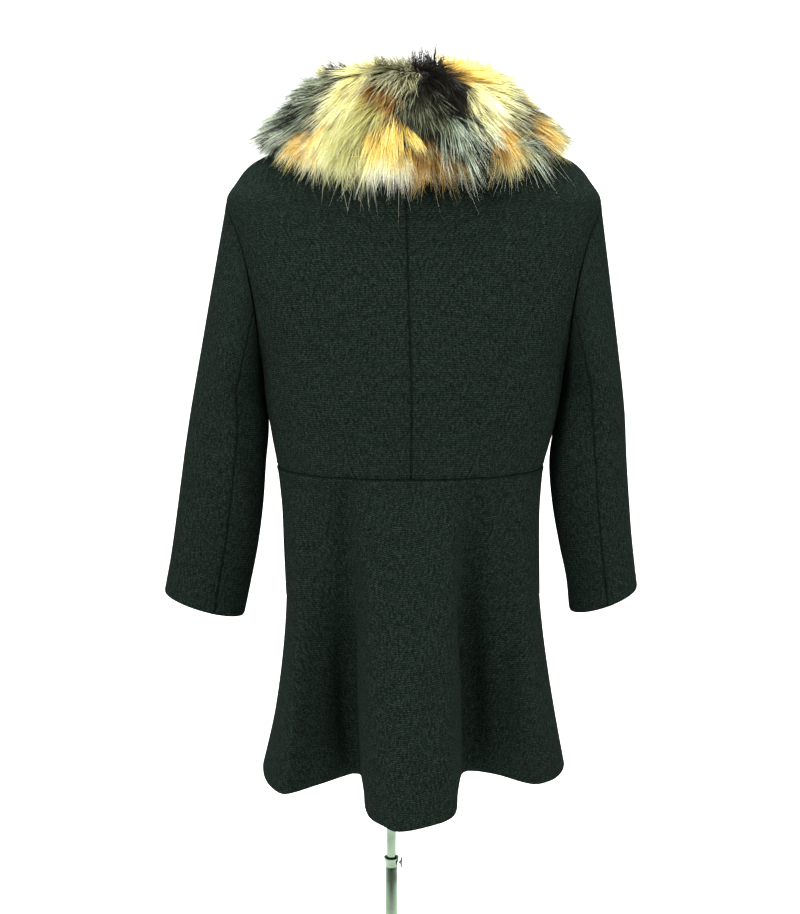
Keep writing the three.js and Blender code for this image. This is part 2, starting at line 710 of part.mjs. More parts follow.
function neckCap() {
  const top = FORM[FORM.length - 1];
  const edge = (inset, z) =>
    Array.from({ length: ROUND_SIDES + 8 }, (_, k) => {
      const point = ringPoint(FORM, top.z, (2 * Math.PI * k) / (ROUND_SIDES + 8));
      return point.multiplyScalar(1 - inset).setZ(z);
    });
  const foot = top.z + SEAM_GAP;
  return loftGeometry([
    edge(0, foot),
    edge(0, foot + NECK_CAP_HEIGHT * 0.6),
    edge(0.12, foot + NECK_CAP_HEIGHT * 0.9),
    edge(0.4, foot + NECK_CAP_HEIGHT),
  ]);
}

// A turned piece about the pole's axis, from its profile of radius and height.
function turned(profile) {
  const geometry = new THREE.LatheGeometry(
    profile.map(([radius, z]) => new THREE.Vector2(radius, z)),
    ROUND_SIDES,
  );
  return geometry.rotateX(RIGHT_ANGLE);
}

function basePlate() {
  const edge = 2;
  return turned([
    [0, 0],
    [BASE_RADIUS - edge, 0],
    [BASE_RADIUS, edge],
    [BASE_RADIUS, BASE_THICKNESS - edge],
    [BASE_RADIUS - edge, BASE_THICKNESS],
    [BOSS_RADIUS + 6, BASE_THICKNESS + 1],
    [BOSS_RADIUS, BASE_THICKNESS + 7],
    [BOSS_RADIUS - 3, BOSS_TOP - 2],
    [BOSS_RADIUS - 5, BOSS_TOP],
    [0, BOSS_TOP],
  ]);
}

function lowerTube() {
  const foot = BOSS_TOP + SEAM_GAP;
  return turned([
    [TUBE_BORE, foot],
    [TUBE_RADIUS, foot],
    [TUBE_RADIUS, TUBE_TOP],
    [TUBE_BORE, TUBE_TOP],
    [TUBE_BORE, foot],
  ]);
}

function upperRod() {
  const top = FORM[0].z - SEAM_GAP;
  return turned([
    [0, ROD_FOOT],
    [ROD_RADIUS, ROD_FOOT],
    [ROD_RADIUS, top],
    [0, top],
  ]);
}

// The flared cup that guides the rod into the tube.
function clampCup() {
  const foot = TUBE_TOP + SEAM_GAP;
  const wall = 1.1;
  return turned([
    [TUBE_BORE, foot],
    [TUBE_RADIUS, foot],
    [TUBE_RADIUS + CLAMP_FLARE * 0.2, foot + CLAMP_HEIGHT * 0.4],
    [TUBE_RADIUS + CLAMP_FLARE, foot + CLAMP_HEIGHT],
    [TUBE_RADIUS + CLAMP_FLARE - wall, foot + CLAMP_HEIGHT],
    [TUBE_BORE, foot + CLAMP_HEIGHT * 0.4],
    [TUBE_BORE, foot],
  ]);
}

// The thumb screw that locks the rod, on the right of the cup.
function clampScrew() {
  const { stem, start, radius, thickness, out } = SCREW;
  const profile = [
    [0, start],
    [stem, start],
    [stem, out - 0.8],
    [radius * 0.6, out - 0.4],
    [radius, out + 0.6],
    [radius, out + thickness - 0.6],
    [radius * 0.8, out + thickness],
    [0, out + thickness],
  ];
  const geometry = new THREE.LatheGeometry(
    profile.map(([r, x]) => new THREE.Vector2(r, x)),
    ROUND_SIDES,
  );
  return geometry.rotateZ(-RIGHT_ANGLE).translate(0, 0, TUBE_TOP + SCREW_HEIGHT);
}

// The whole object

const SIDES = { left: -1, right: 1 };

// The cloth in groups: the pieces of a group share their normals at the seams.
function clothGroups() {
  const body = { skirt_back: skirtPanel(evenAngles(-90, 90, SKIRT_BACK_COLUMNS), 0, false) };
  const groups = [body];
  for (const [name, side] of Object.entries(SIDES)) {
    body[`bodice_back_${name}`] = backPanel(side);
    body[`bodice_front_${name}`] = frontPanel(side);
    body[`skirt_front_${name}`] = skirtFront(side);
    const upperEnd = SLEEVE_BACK_SEAM + 2 * ARMHOLE_ROWS;
    groups.push({
      [`upper_sleeve_${name}`]: sleevePanel(name, side, SLEEVE_FRONT_SEAM, upperEnd),
      [`under_sleeve_${name}`]: sleevePanel(name, side, SLEEVE_BACK_SEAM, SLEEVE_FRONT_SEAM),
    });
    groups.push({ [`pocket_lip_${name}`]: pocketLip(side) });
  }
  return groups;
}

function buildCoat() {
  const coat = new THREE.Group();
  const groups = clothGroups();
  const normals = groups.map((panels) => gatherNormals(Object.values(panels)));
  normals.slice(1).forEach((pieceNormals) => mitreSeam(normals[0], pieceNormals));
  groups.forEach((panels, i) => {
    for (const [name, panel] of Object.entries(panels)) {
      coat.add(namedMesh(name, wallGeometry(panel, normals[i]), CLOTH_LOOK));
    }
  });
  coat.add(namedMesh("fur_collar", furCollar(), FUR_LOOK));
  coat.position.x = COAT_X;
  return coat;
}

function namedMesh(name, geometry, look) {
  const mesh = new THREE.Mesh(geometry, new THREE.MeshStandardMaterial(look));
  mesh.name = name;
  return mesh;
}

function buildForm() {
  const form = new THREE.Group();
  form.add(namedMesh("dress_form", dressForm(), JERSEY_LOOK));
  form.add(namedMesh("neck_cap", neckCap(), CHROME_LOOK));
  form.position.x = FORM_X;
  return form;
}

function buildStand() {
  const stand = new THREE.Group();
  const pieces = {
    upper_rod: upperRod(),
    clamp_cup: clampCup(),
    clamp_screw: clampScrew(),
    lower_tube: lowerTube(),
    base_plate: basePlate(),
  };
  for (const [name, geometry] of Object.entries(pieces)) {
    stand.add(namedMesh(name, geometry, CHROME_LOOK));
  }
  return stand;
}

const part = new THREE.Group();
part.add(buildCoat());
part.add(buildForm());
part.add(buildStand());

export default part;
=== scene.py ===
import math

import bmesh
import bpy
import numpy as np
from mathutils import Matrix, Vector
from mathutils.kdtree import KDTree


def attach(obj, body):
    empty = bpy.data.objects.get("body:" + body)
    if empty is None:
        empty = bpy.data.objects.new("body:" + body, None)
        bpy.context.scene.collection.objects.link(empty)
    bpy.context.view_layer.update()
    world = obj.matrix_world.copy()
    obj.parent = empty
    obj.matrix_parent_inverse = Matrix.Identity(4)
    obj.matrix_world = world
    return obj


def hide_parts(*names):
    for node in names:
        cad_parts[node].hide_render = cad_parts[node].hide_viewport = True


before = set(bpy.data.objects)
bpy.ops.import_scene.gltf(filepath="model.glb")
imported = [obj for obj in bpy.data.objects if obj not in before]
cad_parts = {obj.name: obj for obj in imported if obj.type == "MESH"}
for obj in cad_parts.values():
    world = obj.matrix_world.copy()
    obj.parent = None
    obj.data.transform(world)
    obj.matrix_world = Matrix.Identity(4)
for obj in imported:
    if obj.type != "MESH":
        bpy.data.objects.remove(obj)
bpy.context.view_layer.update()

# The studio: a pale floor that sweeps up into a backdrop, soft lights above and at both sides,
# and the camera behind the coat at the height of its collar, looking a little down.
CAMERA_PLACE = (0.0117, -2.1, 1.4128)
CAMERA_PITCH = 10.091
CAMERA_LENS = 64.63
SWEEP_WIDTH = 9.0
SWEEP_FRONT, SWEEP_BACK, SWEEP_BEND, SWEEP_TOP = -4.5, 4.2, 1.2, 5.5
SWEEP_STEPS = 12
PAPER_GLOW = 0.15
STUDIO_LIGHTS = [
    # name, place, the point that it is aimed at, width, watts
    ("key_light", (-1.2, -2.2, 3.0), (0.0, 0.0, 1.05), 0.8, 76),
    ("fill_light", (1.2, -2.2, 2.9), (0.0, 0.0, 1.05), 0.9, 42),
    ("left_light", (-2.4, -0.7, 1.7), (0.0, 0.0, 1.0), 1.0, 26),
    ("right_light", (2.4, -0.7, 1.7), (0.0, 0.0, 1.0), 1.0, 32),
    ("top_light", (0.0, -0.6, 3.6), (0.0, 0.0, 1.0), 1.6, 80),
    ("floor_light", (0.0, 1.6, 3.6), (0.0, 3.0, 0.0), 3.0, 250),
]
AMBIENT = 0.12


class Value:
    """One output of a node that Python's operators work on."""

    def __init__(self, finish, socket):
        self.finish = finish
        self.socket = socket

    def _maths(self, operation, *values):
        return self.finish.node("ShaderNodeMath", {"operation": operation}, values)

    def __add__(self, other):
        return self._maths("ADD", self, other)

    __radd__ = __add__

    def __mul__(self, other):
        return self._maths("MULTIPLY", self, other)

    __rmul__ = __mul__

    def sine(self):
        return self._maths("SINE", self)

    def between(self, low, high):
        """0 below low, 1 above high and smooth between them."""
        settings = {"interpolation_type": "SMOOTHSTEP"}
        inputs = {"Value": self, "From Min": low, "From Max": high}
        return self.finish.node("ShaderNodeMapRange", settings, inputs)


class Finish:
    """A material and the nodes that feed its shader."""

    def __init__(self, name):
        self.material = bpy.data.materials.new(name)
        self.material.use_nodes = True
        self.tree = self.material.node_tree
        self.shader = self.tree.nodes["Principled BSDF"]

    def feed(self, socket, value):
        if isinstance(value, Value):
            self.tree.links.new(value.socket, socket)
        else:
            socket.default_value = value

    def node(self, kind, settings, inputs, output=0):
        node = self.tree.nodes.new(kind)
        for name, value in settings.items():
            setattr(node, name, value)
        pairs = inputs.items() if isinstance(inputs, dict) else enumerate(inputs)
        for key, value in pairs:
            self.feed(node.inputs[key], value)
        return Value(self, node.outputs[output])

    def mix(self, share, first, second):
        factor, a, b, mixed = 0, 6, 7, 2
        inputs = {factor: share, a: first, b: second}
        return self.node("ShaderNodeMix", {"data_type": "RGBA"}, inputs, mixed)

    def object_place(self):
        return self.node("ShaderNodeTexCoord", {}, {}, "Object")

    def painted(self, name, output="Color"):
        return self.node("ShaderNodeAttribute", {"attribute_name": name}, {}, output)

    def part(self, vector, axis):
        return self.node("ShaderNodeSeparateXYZ", {}, [vector], axis)

    def mapped(self, vector, scale, turn=0.0):
        inputs = {"Vector": vector, "Rotation": (0, 0, turn), "Scale": scale}
        return self.node("ShaderNodeMapping", {}, inputs)

    def noise(self, vector, scale, detail=2.0):
        inputs = {"Vector": vector, "Scale": scale, "Detail": detail}
        return self.node("ShaderNodeTexNoise", {}, inputs)

    def bump(self, height, distance):
        inputs = {"Height": height, "Distance": distance, "Strength": 1.0}
        return self.node("ShaderNodeBump", {}, inputs)

    def set(self, **sockets):
        for name, value in sockets.items():
            self.feed(self.shader.inputs[name.replace("_", " ")], value)
        return self


def colour(red, green, blue):
    """A screen colour of 0 to 255 as the light that a shader works with."""
    def light(share):
        return share / 12.92 if share <= 0.04045 else ((share + 0.055) / 1.055) ** 2.4

    return (light(red / 255), light(green / 255), light(blue / 255), 1.0)


def in_scene(name, data):
    thing = bpy.data.objects.new(name, data)
    bpy.context.scene.collection.objects.link(thing)
    return thing


def new_object(name, points, faces, finishes, face_finish=None, flat_ends=False):
    """A smooth mesh at the origin from points in metres. Its many-sided ends may stay flat."""
    mesh = bpy.data.meshes.new(name)
    mesh.from_pydata(np.asarray(points).tolist(), [], faces)
    mesh.polygons.foreach_set("use_smooth", [len(f) == 4 or not flat_ends for f in faces])
    for finish in finishes:
        mesh.materials.append(finish.material)
    if face_finish is not None:
        mesh.polygons.foreach_set("material_index", face_finish)
    return in_scene(name, mesh)


camera = in_scene("camera", bpy.data.cameras.new("camera"))
camera.data.lens = CAMERA_LENS
camera.location = CAMERA_PLACE
camera.rotation_euler = (math.radians(90 - CAMERA_PITCH), 0, 0)
bpy.context.scene.camera = camera
bpy.context.scene.view_settings.view_transform = "Standard"

for name, place, aim, width, watts in STUDIO_LIGHTS:
    light = bpy.data.lights.new(name, "AREA")
    light.shape = "DISK"
    light.size = width
    light.energy = watts
    lamp = in_scene(name, light)
    lamp.location = place
    lamp.rotation_euler = (Vector(aim) - Vector(place)).to_track_quat("-Z", "Y").to_euler()

world = bpy.data.worlds.new("studio")
world.use_nodes = True
world.node_tree.nodes["Background"].inputs["Color"].default_value = (1, 1, 1, 1)
world.node_tree.nodes["Background"].inputs["Strength"].default_value = AMBIENT
bpy.context.scene.world = world


def sweep_profile():
    """The paper from its front edge over the floor and up its bend, as places y and height z."""
    turns = [math.radians(90 * i / SWEEP_STEPS) for i in range(SWEEP_STEPS + 1)]
    middle_y, middle_z = SWEEP_BACK - SWEEP_BEND, SWEEP_BEND
    curve = [
        (middle_y + SWEEP_BEND * math.sin(a), middle_z - SWEEP_BEND * math.cos(a)) for a in turns
    ]
    return [(SWEEP_FRONT, 0.0), *curve, (SWEEP_BACK, SWEEP_TOP)]


paper = Finish("studio_paper")
paper_grain = paper.noise(paper.object_place(), 60.0)
paper.set(
    Base_Color=paper.mix(paper_grain, (0.90, 0.90, 0.90, 1), (0.93, 0.93, 0.93, 1)),
    Roughness=0.9,
    Emission_Color=(1, 1, 1, 1),
    Emission_Strength=PAPER_GLOW,
)
profile = sweep_profile()
sweep_points = [(x, y, z) for y, z in profile for x in (-SWEEP_WIDTH / 2, SWEEP_WIDTH / 2)]
sweep_faces = [(2 * i, 2 * i + 1, 2 * i + 3, 2 * i + 2) for i in range(len(profile) - 1)]
sweep = new_object("studio_sweep", sweep_points, sweep_faces, [paper])

# The stand: a heavy round foot with a boss, a chromed tube in it, and a thinner rod that slides in
# the tube. A flared cup on the tube's mouth guides the rod, and a knurled thumb screw locks it.
BASE_RADIUS = 0.190
BASE_THICKNESS = 0.006
BOSS_RADIUS = 0.017
BOSS_TOP = 0.042
TUBE_RADIUS = 0.0082
TUBE_BORE = 0.00695
TUBE_TOP = 0.474
ROD_RADIUS = 0.0065
ROD_FOOT, ROD_TOP = 0.200, 0.9047
CLAMP_HEIGHT = 0.013
CLAMP_FLARE = 0.0024
CLAMP_WALL = 0.0011
SCREW_Z = TUBE_TOP + 0.0055
SCREW_STEM, SCREW_HEAD = 0.002, 0.0078
SCREW_START, SCREW_OUT, SCREW_THICKNESS = 0.0095, 0.0124, 0.0026
SCREW_FLUTES, FLUTE_DEPTH = 24, 0.0005
FITTING_GAP = 0.0003
TURNED_SIDES = 96
CORNER_ROUND = 0.0003
CORNER_ANGLE = 35
MERGE_WITHIN = 1e-6


def chrome_finish():
    """Bright plate with faint lengthwise polishing and a little dullness where hands have been."""
    chrome = Finish("chrome_plate")
    place = chrome.object_place()
    lengthwise = chrome.noise(chrome.mapped(place, (900, 900, 30)), 1.0, 3)
    touched = chrome.noise(place, 26.0, 4).between(0.45, 0.75)
    bright = chrome.mix(touched, colour(118, 136, 116), colour(84, 98, 82))
    chrome.set(
        Base_Color=bright,
        Metallic=1.0,
        Roughness=0.1 + 0.10 * lengthwise + 0.14 * touched,
        Normal=chrome.bump(lengthwise, 0.00002),
    )
    return chrome


def ring_faces(rows, around):
    """The faces between rows of points that each run once round a body."""
    faces = []
    for row in range(rows - 1):
        for k in range(around):
            a, b = row * around + k, row * around + (k + 1) % around
            faces.append((a, b, b + around, a + around))
    return faces


def turned_piece(name, spots, finish, flutes=0, flute_depth=0.0):
    """A piece turned about the pole's axis from spots of radius and height, closed end to end."""
    turn = np.linspace(0, 2 * math.pi, TURNED_SIDES, endpoint=False)
    rows = []
    for radius, height, fluted in spots:
        reach = radius - fluted * flute_depth * (0.5 + 0.5 * np.cos(flutes * turn))
        rows.append(np.stack([reach * np.cos(turn), reach * np.sin(turn), 0 * turn + height], 1))
    faces = ring_faces(len(spots), TURNED_SIDES)
    piece = new_object(name, np.concatenate(rows), faces, [finish])
    tidy_turned(piece)
    return piece


def tidy_turned(piece):
    """Points on the axis become one, faces turn outwards and hard corners get a small round."""
    shape = bmesh.new()
    shape.from_mesh(piece.data)
    bmesh.ops.remove_doubles(shape, verts=shape.verts, dist=MERGE_WITHIN)
    bmesh.ops.recalc_face_normals(shape, faces=shape.faces)
    shape.to_mesh(piece.data)
    shape.free()
    piece.data.polygons.foreach_set("use_smooth", [True] * len(piece.data.polygons))
    rounding = piece.modifiers.new("rounding", "BEVEL")
    rounding.width = CORNER_ROUND
    rounding.segments = 2
    rounding.limit_method = "ANGLE"
    rounding.angle_limit = math.radians(CORNER_ANGLE)


def fit(piece, body, node):
    """The piece moves with a body and stands in for a node of the CAD, which is hidden."""
    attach(piece, body)
    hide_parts(node)


def plain_spots(*spots):
    return [(radius, height, 0) for radius, height in spots]


chrome = chrome_finish()
foot_edge = 0.002
base_plate = turned_piece(
    "weighted_foot",
    plain_spots(
        (0, 0),
        (BASE_RADIUS - foot_edge, 0),
        (BASE_RADIUS, foot_edge),
        (BASE_RADIUS, BASE_THICKNESS - foot_edge),
        (BASE_RADIUS - foot_edge, BASE_THICKNESS),
        (BOSS_RADIUS + 0.006, BASE_THICKNESS + 0.001),
        (BOSS_RADIUS + 0.002, BASE_THICKNESS + 0.003),
        (BOSS_RADIUS, BASE_THICKNESS + 0.007),
        (BOSS_RADIUS - 0.003, BOSS_TOP - 0.002),
        (BOSS_RADIUS - 0.005, BOSS_TOP),
        (0, BOSS_TOP),
    ),
    chrome,
)
tube_foot = BOSS_TOP + FITTING_GAP
lower_tube = turned_piece(
    "tube",
    plain_spots(
        (TUBE_BORE, tube_foot),
        (TUBE_RADIUS, tube_foot),
        (TUBE_RADIUS, TUBE_TOP),
        (TUBE_BORE, TUBE_TOP),
        (TUBE_BORE, tube_foot),
    ),
    chrome,
)
rod = turned_piece(
    "sliding_rod",
    plain_spots((0, ROD_FOOT), (ROD_RADIUS, ROD_FOOT), (ROD_RADIUS, ROD_TOP), (0, ROD_TOP)),
    chrome,
)
cup_foot = TUBE_TOP + FITTING_GAP
cup = turned_piece(
    "flared_cup",
    plain_spots(
        (TUBE_BORE, cup_foot),
        (TUBE_RADIUS, cup_foot),
        (TUBE_RADIUS + CLAMP_FLARE * 0.2, cup_foot + CLAMP_HEIGHT * 0.4),
        (TUBE_RADIUS + CLAMP_FLARE * 0.55, cup_foot + CLAMP_HEIGHT * 0.75),
        (TUBE_RADIUS + CLAMP_FLARE, cup_foot + CLAMP_HEIGHT),
        (TUBE_RADIUS + CLAMP_FLARE - CLAMP_WALL, cup_foot + CLAMP_HEIGHT),
        (TUBE_BORE, cup_foot + CLAMP_HEIGHT * 0.4),
        (TUBE_BORE, cup_foot),
    ),
    chrome,
)
screw_end = SCREW_OUT + SCREW_THICKNESS
screw = turned_piece(
    "thumb_screw",
    [
        (0, SCREW_START, 0),
        (SCREW_STEM, SCREW_START, 0),
        (SCREW_STEM, SCREW_OUT - 0.0008, 0),
        (SCREW_HEAD * 0.6, SCREW_OUT - 0.0004, 0),
        (SCREW_HEAD, SCREW_OUT + 0.0006, 1),
        (SCREW_HEAD, screw_end - 0.0006, 1),
        (SCREW_HEAD * 0.8, screw_end, 0),
        (0, screw_end, 0),
    ],
    chrome,
    flutes=SCREW_FLUTES,
    flute_depth=FLUTE_DEPTH,
)
screw_points = np.array([v.co for v in screw.data.vertices])
laid_over = np.stack([screw_points[:, 2], screw_points[:, 1], SCREW_Z - screw_points[:, 0]], 1)
screw.data.vertices.foreach_set("co", laid_over.ravel())
STAND_PIECES = [
    (base_plate, "base_plate", "stand"),
    (lower_tube, "lower_tube", "stand"),
    (cup, "clamp_cup", "stand"),
    (screw, "clamp_screw", "stand"),
    (rod, "upper_rod", "worn_form"),
]
for piece, node, body in STAND_PIECES:
    fit(piece, body, node)

# The dress form: a hard shell without limbs under a close jersey cover, whose fine knit runs up
# and down. A turned metal cap closes its neck. The coat rests on its shoulders.
MM = 0.001  # sizes are in millimetres from here on, but in metres inside materials and node trees
SQUARENESS = 2.4
FORM_X = 15
FORM_RINGS = np.array([
    # height, half width, depth of back, depth of front
    [905, 118, 80, 78],
    [912, 133, 92, 88],
    [940, 145, 103, 96],
    [975, 146, 104, 97],
    [1015, 130, 88, 92],
    [1050, 118, 76, 90],
    [1100, 126, 82, 100],
    [1150, 138, 92, 118],
    [1195, 146, 98, 124],
    [1245, 154, 100, 110],
    [1300, 164, 98, 94],
    [1348, 173, 84, 80],
    [1386.2, 173.4, 68, 64],
    [1407.2, 164.4, 59, 56],
    [1420.7, 147.4, 54, 52],
    [1429.7, 123.4, 51, 50],
    [1437.6, 93.4, 49, 49],
    [1445, 64, 48, 49],
    [1458, 52, 46, 48],
    [1492, 49, 45, 48],
])
HALF, BACK, FRONT, SHIFT = 1, 2, 3, 4
FORM_STEP = 6.0
FORM_AROUND = 96
STITCH_PITCH = 0.0016  # metres
NECK_CAP_HEIGHT = 10
NECK_CAP_GAP = 0.3
NECK_CAP_PROFILE = [
    # share drawn in from the neck's outline, share of the cap's height
    (0.03, 0),
    (0, 0.08),
    (0, 0.55),
    (0.05, 0.78),
    (0.14, 0.92),
    (0.4, 0.99),
    (0.8, 1),
]


def read_table(table, column, at):
    """One column of a table, smoothly read at places between its rows."""
    keys, values = table[:, 0], table[:, column]
    last = len(keys) - 1
    before = np.maximum(np.arange(last + 1) - 1, 0)
    after = np.minimum(np.arange(last + 1) + 1, last)
    slopes = (values[after] - values[before]) / (keys[after] - keys[before])
    place = np.clip(at, keys[0], keys[-1])
    i = np.clip(np.searchsorted(keys, place, side="right") - 1, 0, last - 1)
    span = keys[i + 1] - keys[i]
    t = (place - keys[i]) / span
    rise = (3 - 2 * t) * t * t
    return (
        (1 - rise) * values[i]
        + t * (1 - t) ** 2 * span * slopes[i]
        + rise * values[i + 1]
        - t * t * (1 - t) * span * slopes[i + 1]
    )


def signed_power(value, power):
    return np.sign(value) * np.abs(value) ** power


def ring_point(table, z, angle):
    """Points of rings: angle 0 is the middle of the back, and the right side is at 90 degrees."""
    z, angle = np.broadcast_arrays(np.asarray(z, float), np.asarray(angle, float))
    power = 2 / SQUARENESS
    depth = np.where(np.cos(angle) > 0, read_table(table, BACK, z), read_table(table, FRONT, z))
    shift = read_table(table, SHIFT, z) if table.shape[1] > SHIFT else 0
    x = shift + read_table(table, HALF, z) * signed_power(np.sin(angle), power)
    return np.stack([x, -depth * signed_power(np.cos(angle), power), z], -1)


def capped_faces(rows, around):
    """The faces between rows of points round a closed body, and a flat cap at each end."""
    faces = ring_faces(rows, around)
    faces.append(tuple(reversed(range(around))))
    faces.append(tuple(range((rows - 1) * around, rows * around)))
    return faces


def rings_object(name, rings, finish):
    faces = capped_faces(len(rings), len(rings[0]))
    return new_object(name, np.concatenate(rings) * MM, faces, [finish], flat_ends=True)


def jersey_finish():
    """A knit whose loops lean across its upright wales, in two shades of natural cotton."""
    jersey = Finish("jersey_cover")
    place = jersey.object_place()
    stitch = 2 * math.pi / STITCH_PITCH
    across = jersey.part(place, 0) * stitch
    upright = jersey.part(place, 2) * stitch
    loops = across.sine() * 0.5 + (upright + across).sine() * 0.5
    cloudy = jersey.noise(place, 18.0, 3)
    jersey.set(
        Base_Color=jersey.mix(cloudy, colour(222, 214, 198), colour(234, 228, 214)),
        Roughness=0.85,
        Sheen_Weight=0.15,
        Normal=jersey.bump(loops, 0.00012),
    )
    return jersey


form_foot, form_top = FORM_RINGS[0, 0], FORM_RINGS[-1, 0]
even_heights = np.arange(form_foot, form_top, FORM_STEP)
form_heights = np.unique(np.concatenate([FORM_RINGS[:, 0], even_heights]))
form_turn = np.linspace(0, 2 * math.pi, FORM_AROUND, endpoint=False)
form_shift = np.array([FORM_X, 0, 0])
form_rings = [ring_point(FORM_RINGS, z, form_turn) + form_shift for z in form_heights]
dress_form = rings_object("dress_form_body", form_rings, jersey_finish())
fit(dress_form, "worn_form", "dress_form")

neck_ring = ring_point(FORM_RINGS, form_top, form_turn)
cap_rings = []
for inset, rise in NECK_CAP_PROFILE:
    cap_ring = neck_ring * (1 - inset)
    cap_ring[:, 2] = form_top + NECK_CAP_GAP + NECK_CAP_HEIGHT * rise
    cap_rings.append(cap_ring + form_shift)
neck_cap = rings_object("form_neck_cap", cap_rings, chrome)
fit(neck_cap, "worn_form", "neck_cap")

# The coat's bodice: two backs that meet in a centre-back seam and two fronts that lap out of
# sight, all of thick double wool with a faint horizontal rib, a soft nap and small paler flecks.
CLOTH = 3.0
SEAM_GAP = 0.04
WAIST_Z = 1033.0
ARMPIT_Z = 1165.0
SHOULDER_Z = 1369.0
NECK_Z = 1447.0
FRONT_NECK_DROP = 25.0
FRONT_NECK_CURVE = 4
ARMHOLE_REACH = 58.0
ARMHOLE_ROWS = 10
BACK_SEAM_LEAN = 12.5
FRONT_LAP = 30.0
LAP_CLEARANCE = 1.2
LAP_FLAT, LAP_RISE = 8.0, 42.0  # where, past the lap, the lower front starts and ends its rise
COAT_X = 29.0
BACK_WIDTH, FRONT_WIDTH = 250, 270  # the usual width of a panel, which its columns follow
SHOULDER_ROWS = np.linspace(0, 1, 19)[1:]
CELL = 5.5  # the grid's usual step
EDGE_STEPS = [0.9, 2.0, 3.6]  # closer steps beside every edge
CREASE_WANDER, CREASE_WAVES = 0.25, 4.2
CREASE_END_POWER = 2.6
CREASE_FACING = 1.7
HELD_REACH = 22.0
BODICE = np.array([
    # height, half width, depth of back, depth of front, shift to the right
    [1033, 172, 130, 140, -4],
    [1075, 181.5, 131, 148, -2],
    [1120, 189, 133, 155, -1],
    [1165, 194, 134, 158, 0],
    [1220, 206, 133, 153, 0],
    [1270, 218, 129, 142, 0],
    [1320, 228, 121, 125, 0],
    [1369, 236, 107, 105, 0],
    [1394, 221, 96, 92, 0],
    [1407, 211, 89, 84, 0],
    [1419, 195, 82, 77, 0],
    [1431, 164, 74, 71, 0],
    [1441, 122, 67, 66, 0],
    [1447, 86, 62, 62, 0],
])
# Soft troughs (below 0) and ridges in body and skirt: from x, z to x, z, half width, height, face
ON_BACK, ON_FRONT = -1, 1
BODY_CREASES = [
    (142, 1310, 118, 1158, 24, -3.6, ON_BACK),
    (98, 1292, 84, 1120, 22, 2.2, ON_BACK),
    (150, 1092, 112, 1030, 15, -2.4, ON_BACK),
    (-138, 1262, -66, 1128, 26, -2.4, ON_BACK),
    (-168, 1300, -128, 1180, 16, 2.2, ON_BACK),
    (-150, 1096, -84, 1052, 13, -1.5, ON_BACK),
    (-40, 1180, -22, 1078, 20, 1.0, ON_BACK),
    (44, 1150, 30, 1052, 17, -1.1, ON_BACK),
    (77, 1044, 72, 640, 15, -15, ON_BACK),
    (75, 900, 71, 610, 14, -8, ON_BACK),
    (104, 1000, 112, 720, 18, 2.4, ON_BACK),
    (-84, 1044, -84, 880, 12, -10, ON_BACK),
    (-80, 925, -78, 610, 16, -16, ON_BACK),
    (-148, 1018, -152, 905, 15, 2.6, ON_BACK),
    (-120, 1026, -124, 900, 10, -2.2, ON_BACK),
    (130, 1030, 140, 900, 14, 2.0, ON_BACK),
    (104, 1030, 108, 930, 10, -1.6, ON_BACK),
    (10, 1020, 16, 860, 24, 1.6, ON_BACK),
    (-24, 1000, -30, 800, 16, -1.2, ON_BACK),
    (34, 930, 44, 690, 13, -1.8, ON_BACK),
    (-146, 1300, -104, 1150, 22, -3.2, ON_FRONT),
    (136, 1290, 96, 1130, 24, -3.0, ON_FRONT),
    (90, 1250, 60, 1100, 20, 2.2, ON_FRONT),
    (-80, 1240, -62, 1090, 20, 2.0, ON_FRONT),
    (-140, 1090, -90, 1042, 13, -2.0, ON_FRONT),
    (128, 1100, 86, 1040, 14, -2.0, ON_FRONT),
    (120, 1020, 132, 880, 14, 2.4, ON_FRONT),
    (-118, 1022, -126, 870, 14, 2.2, ON_FRONT),
    (70, 1016, 76, 850, 11, -1.8, ON_FRONT),
    (-72, 1012, -80, 840, 12, -1.6, ON_FRONT),
]


def smooth(t):
    t = np.clip(t, 0, 1)
    return t * t * (3 - 2 * t)


def spaced(length):
    """Places from 0 to 1 along a length: a fine grid with closer steps beside both edges."""
    wide = length - 2 * EDGE_STEPS[-1]
    inner = np.linspace(0, wide, max(2, round(wide / CELL)) + 1) + EDGE_STEPS[-1]
    places = [0, *EDGE_STEPS[:-1], *inner, *[length - s for s in EDGE_STEPS[-2::-1]], length]
    return np.array(places) / length


def armhole_height(k):
    """The height of the armhole's point k, counted from the shoulder down."""
    share = (1 + np.cos(np.pi * np.asarray(k, float) / ARMHOLE_ROWS)) / 2
    return ARMPIT_Z + (SHOULDER_Z - ARMPIT_Z) * share


def side_angle(z, face):
    """Where a ring of the bodice ends at the side: a seam, or the edge of the armhole."""
    z = np.asarray(z, float)
    q = (2 * z - ARMPIT_Z - SHOULDER_Z) / (SHOULDER_Z - ARMPIT_Z)
    reach = ARMHOLE_REACH * np.sqrt(np.clip(1 - q * q, 0, None))
    from_middle = np.arccos((reach / read_table(BODICE, face, z)) ** (SQUARENESS / 2))
    at_side = from_middle if face == BACK else np.pi - from_middle
    return np.where((z <= ARMPIT_Z) | (z >= SHOULDER_Z), np.pi / 2, at_side)


def back_seam_angle(z):
    """The centre-back seam runs up and a little to the left."""
    lean = BACK_SEAM_LEAN * np.clip((z - WAIST_Z) / (NECK_Z - WAIST_Z), 0, 1)
    return -np.arcsin((lean / read_table(BODICE, HALF, z)) ** (SQUARENESS / 2))


def lap_angle(z):
    return np.pi + np.arcsin((FRONT_LAP / read_table(BODICE, HALF, z)) ** (SQUARENESS / 2))


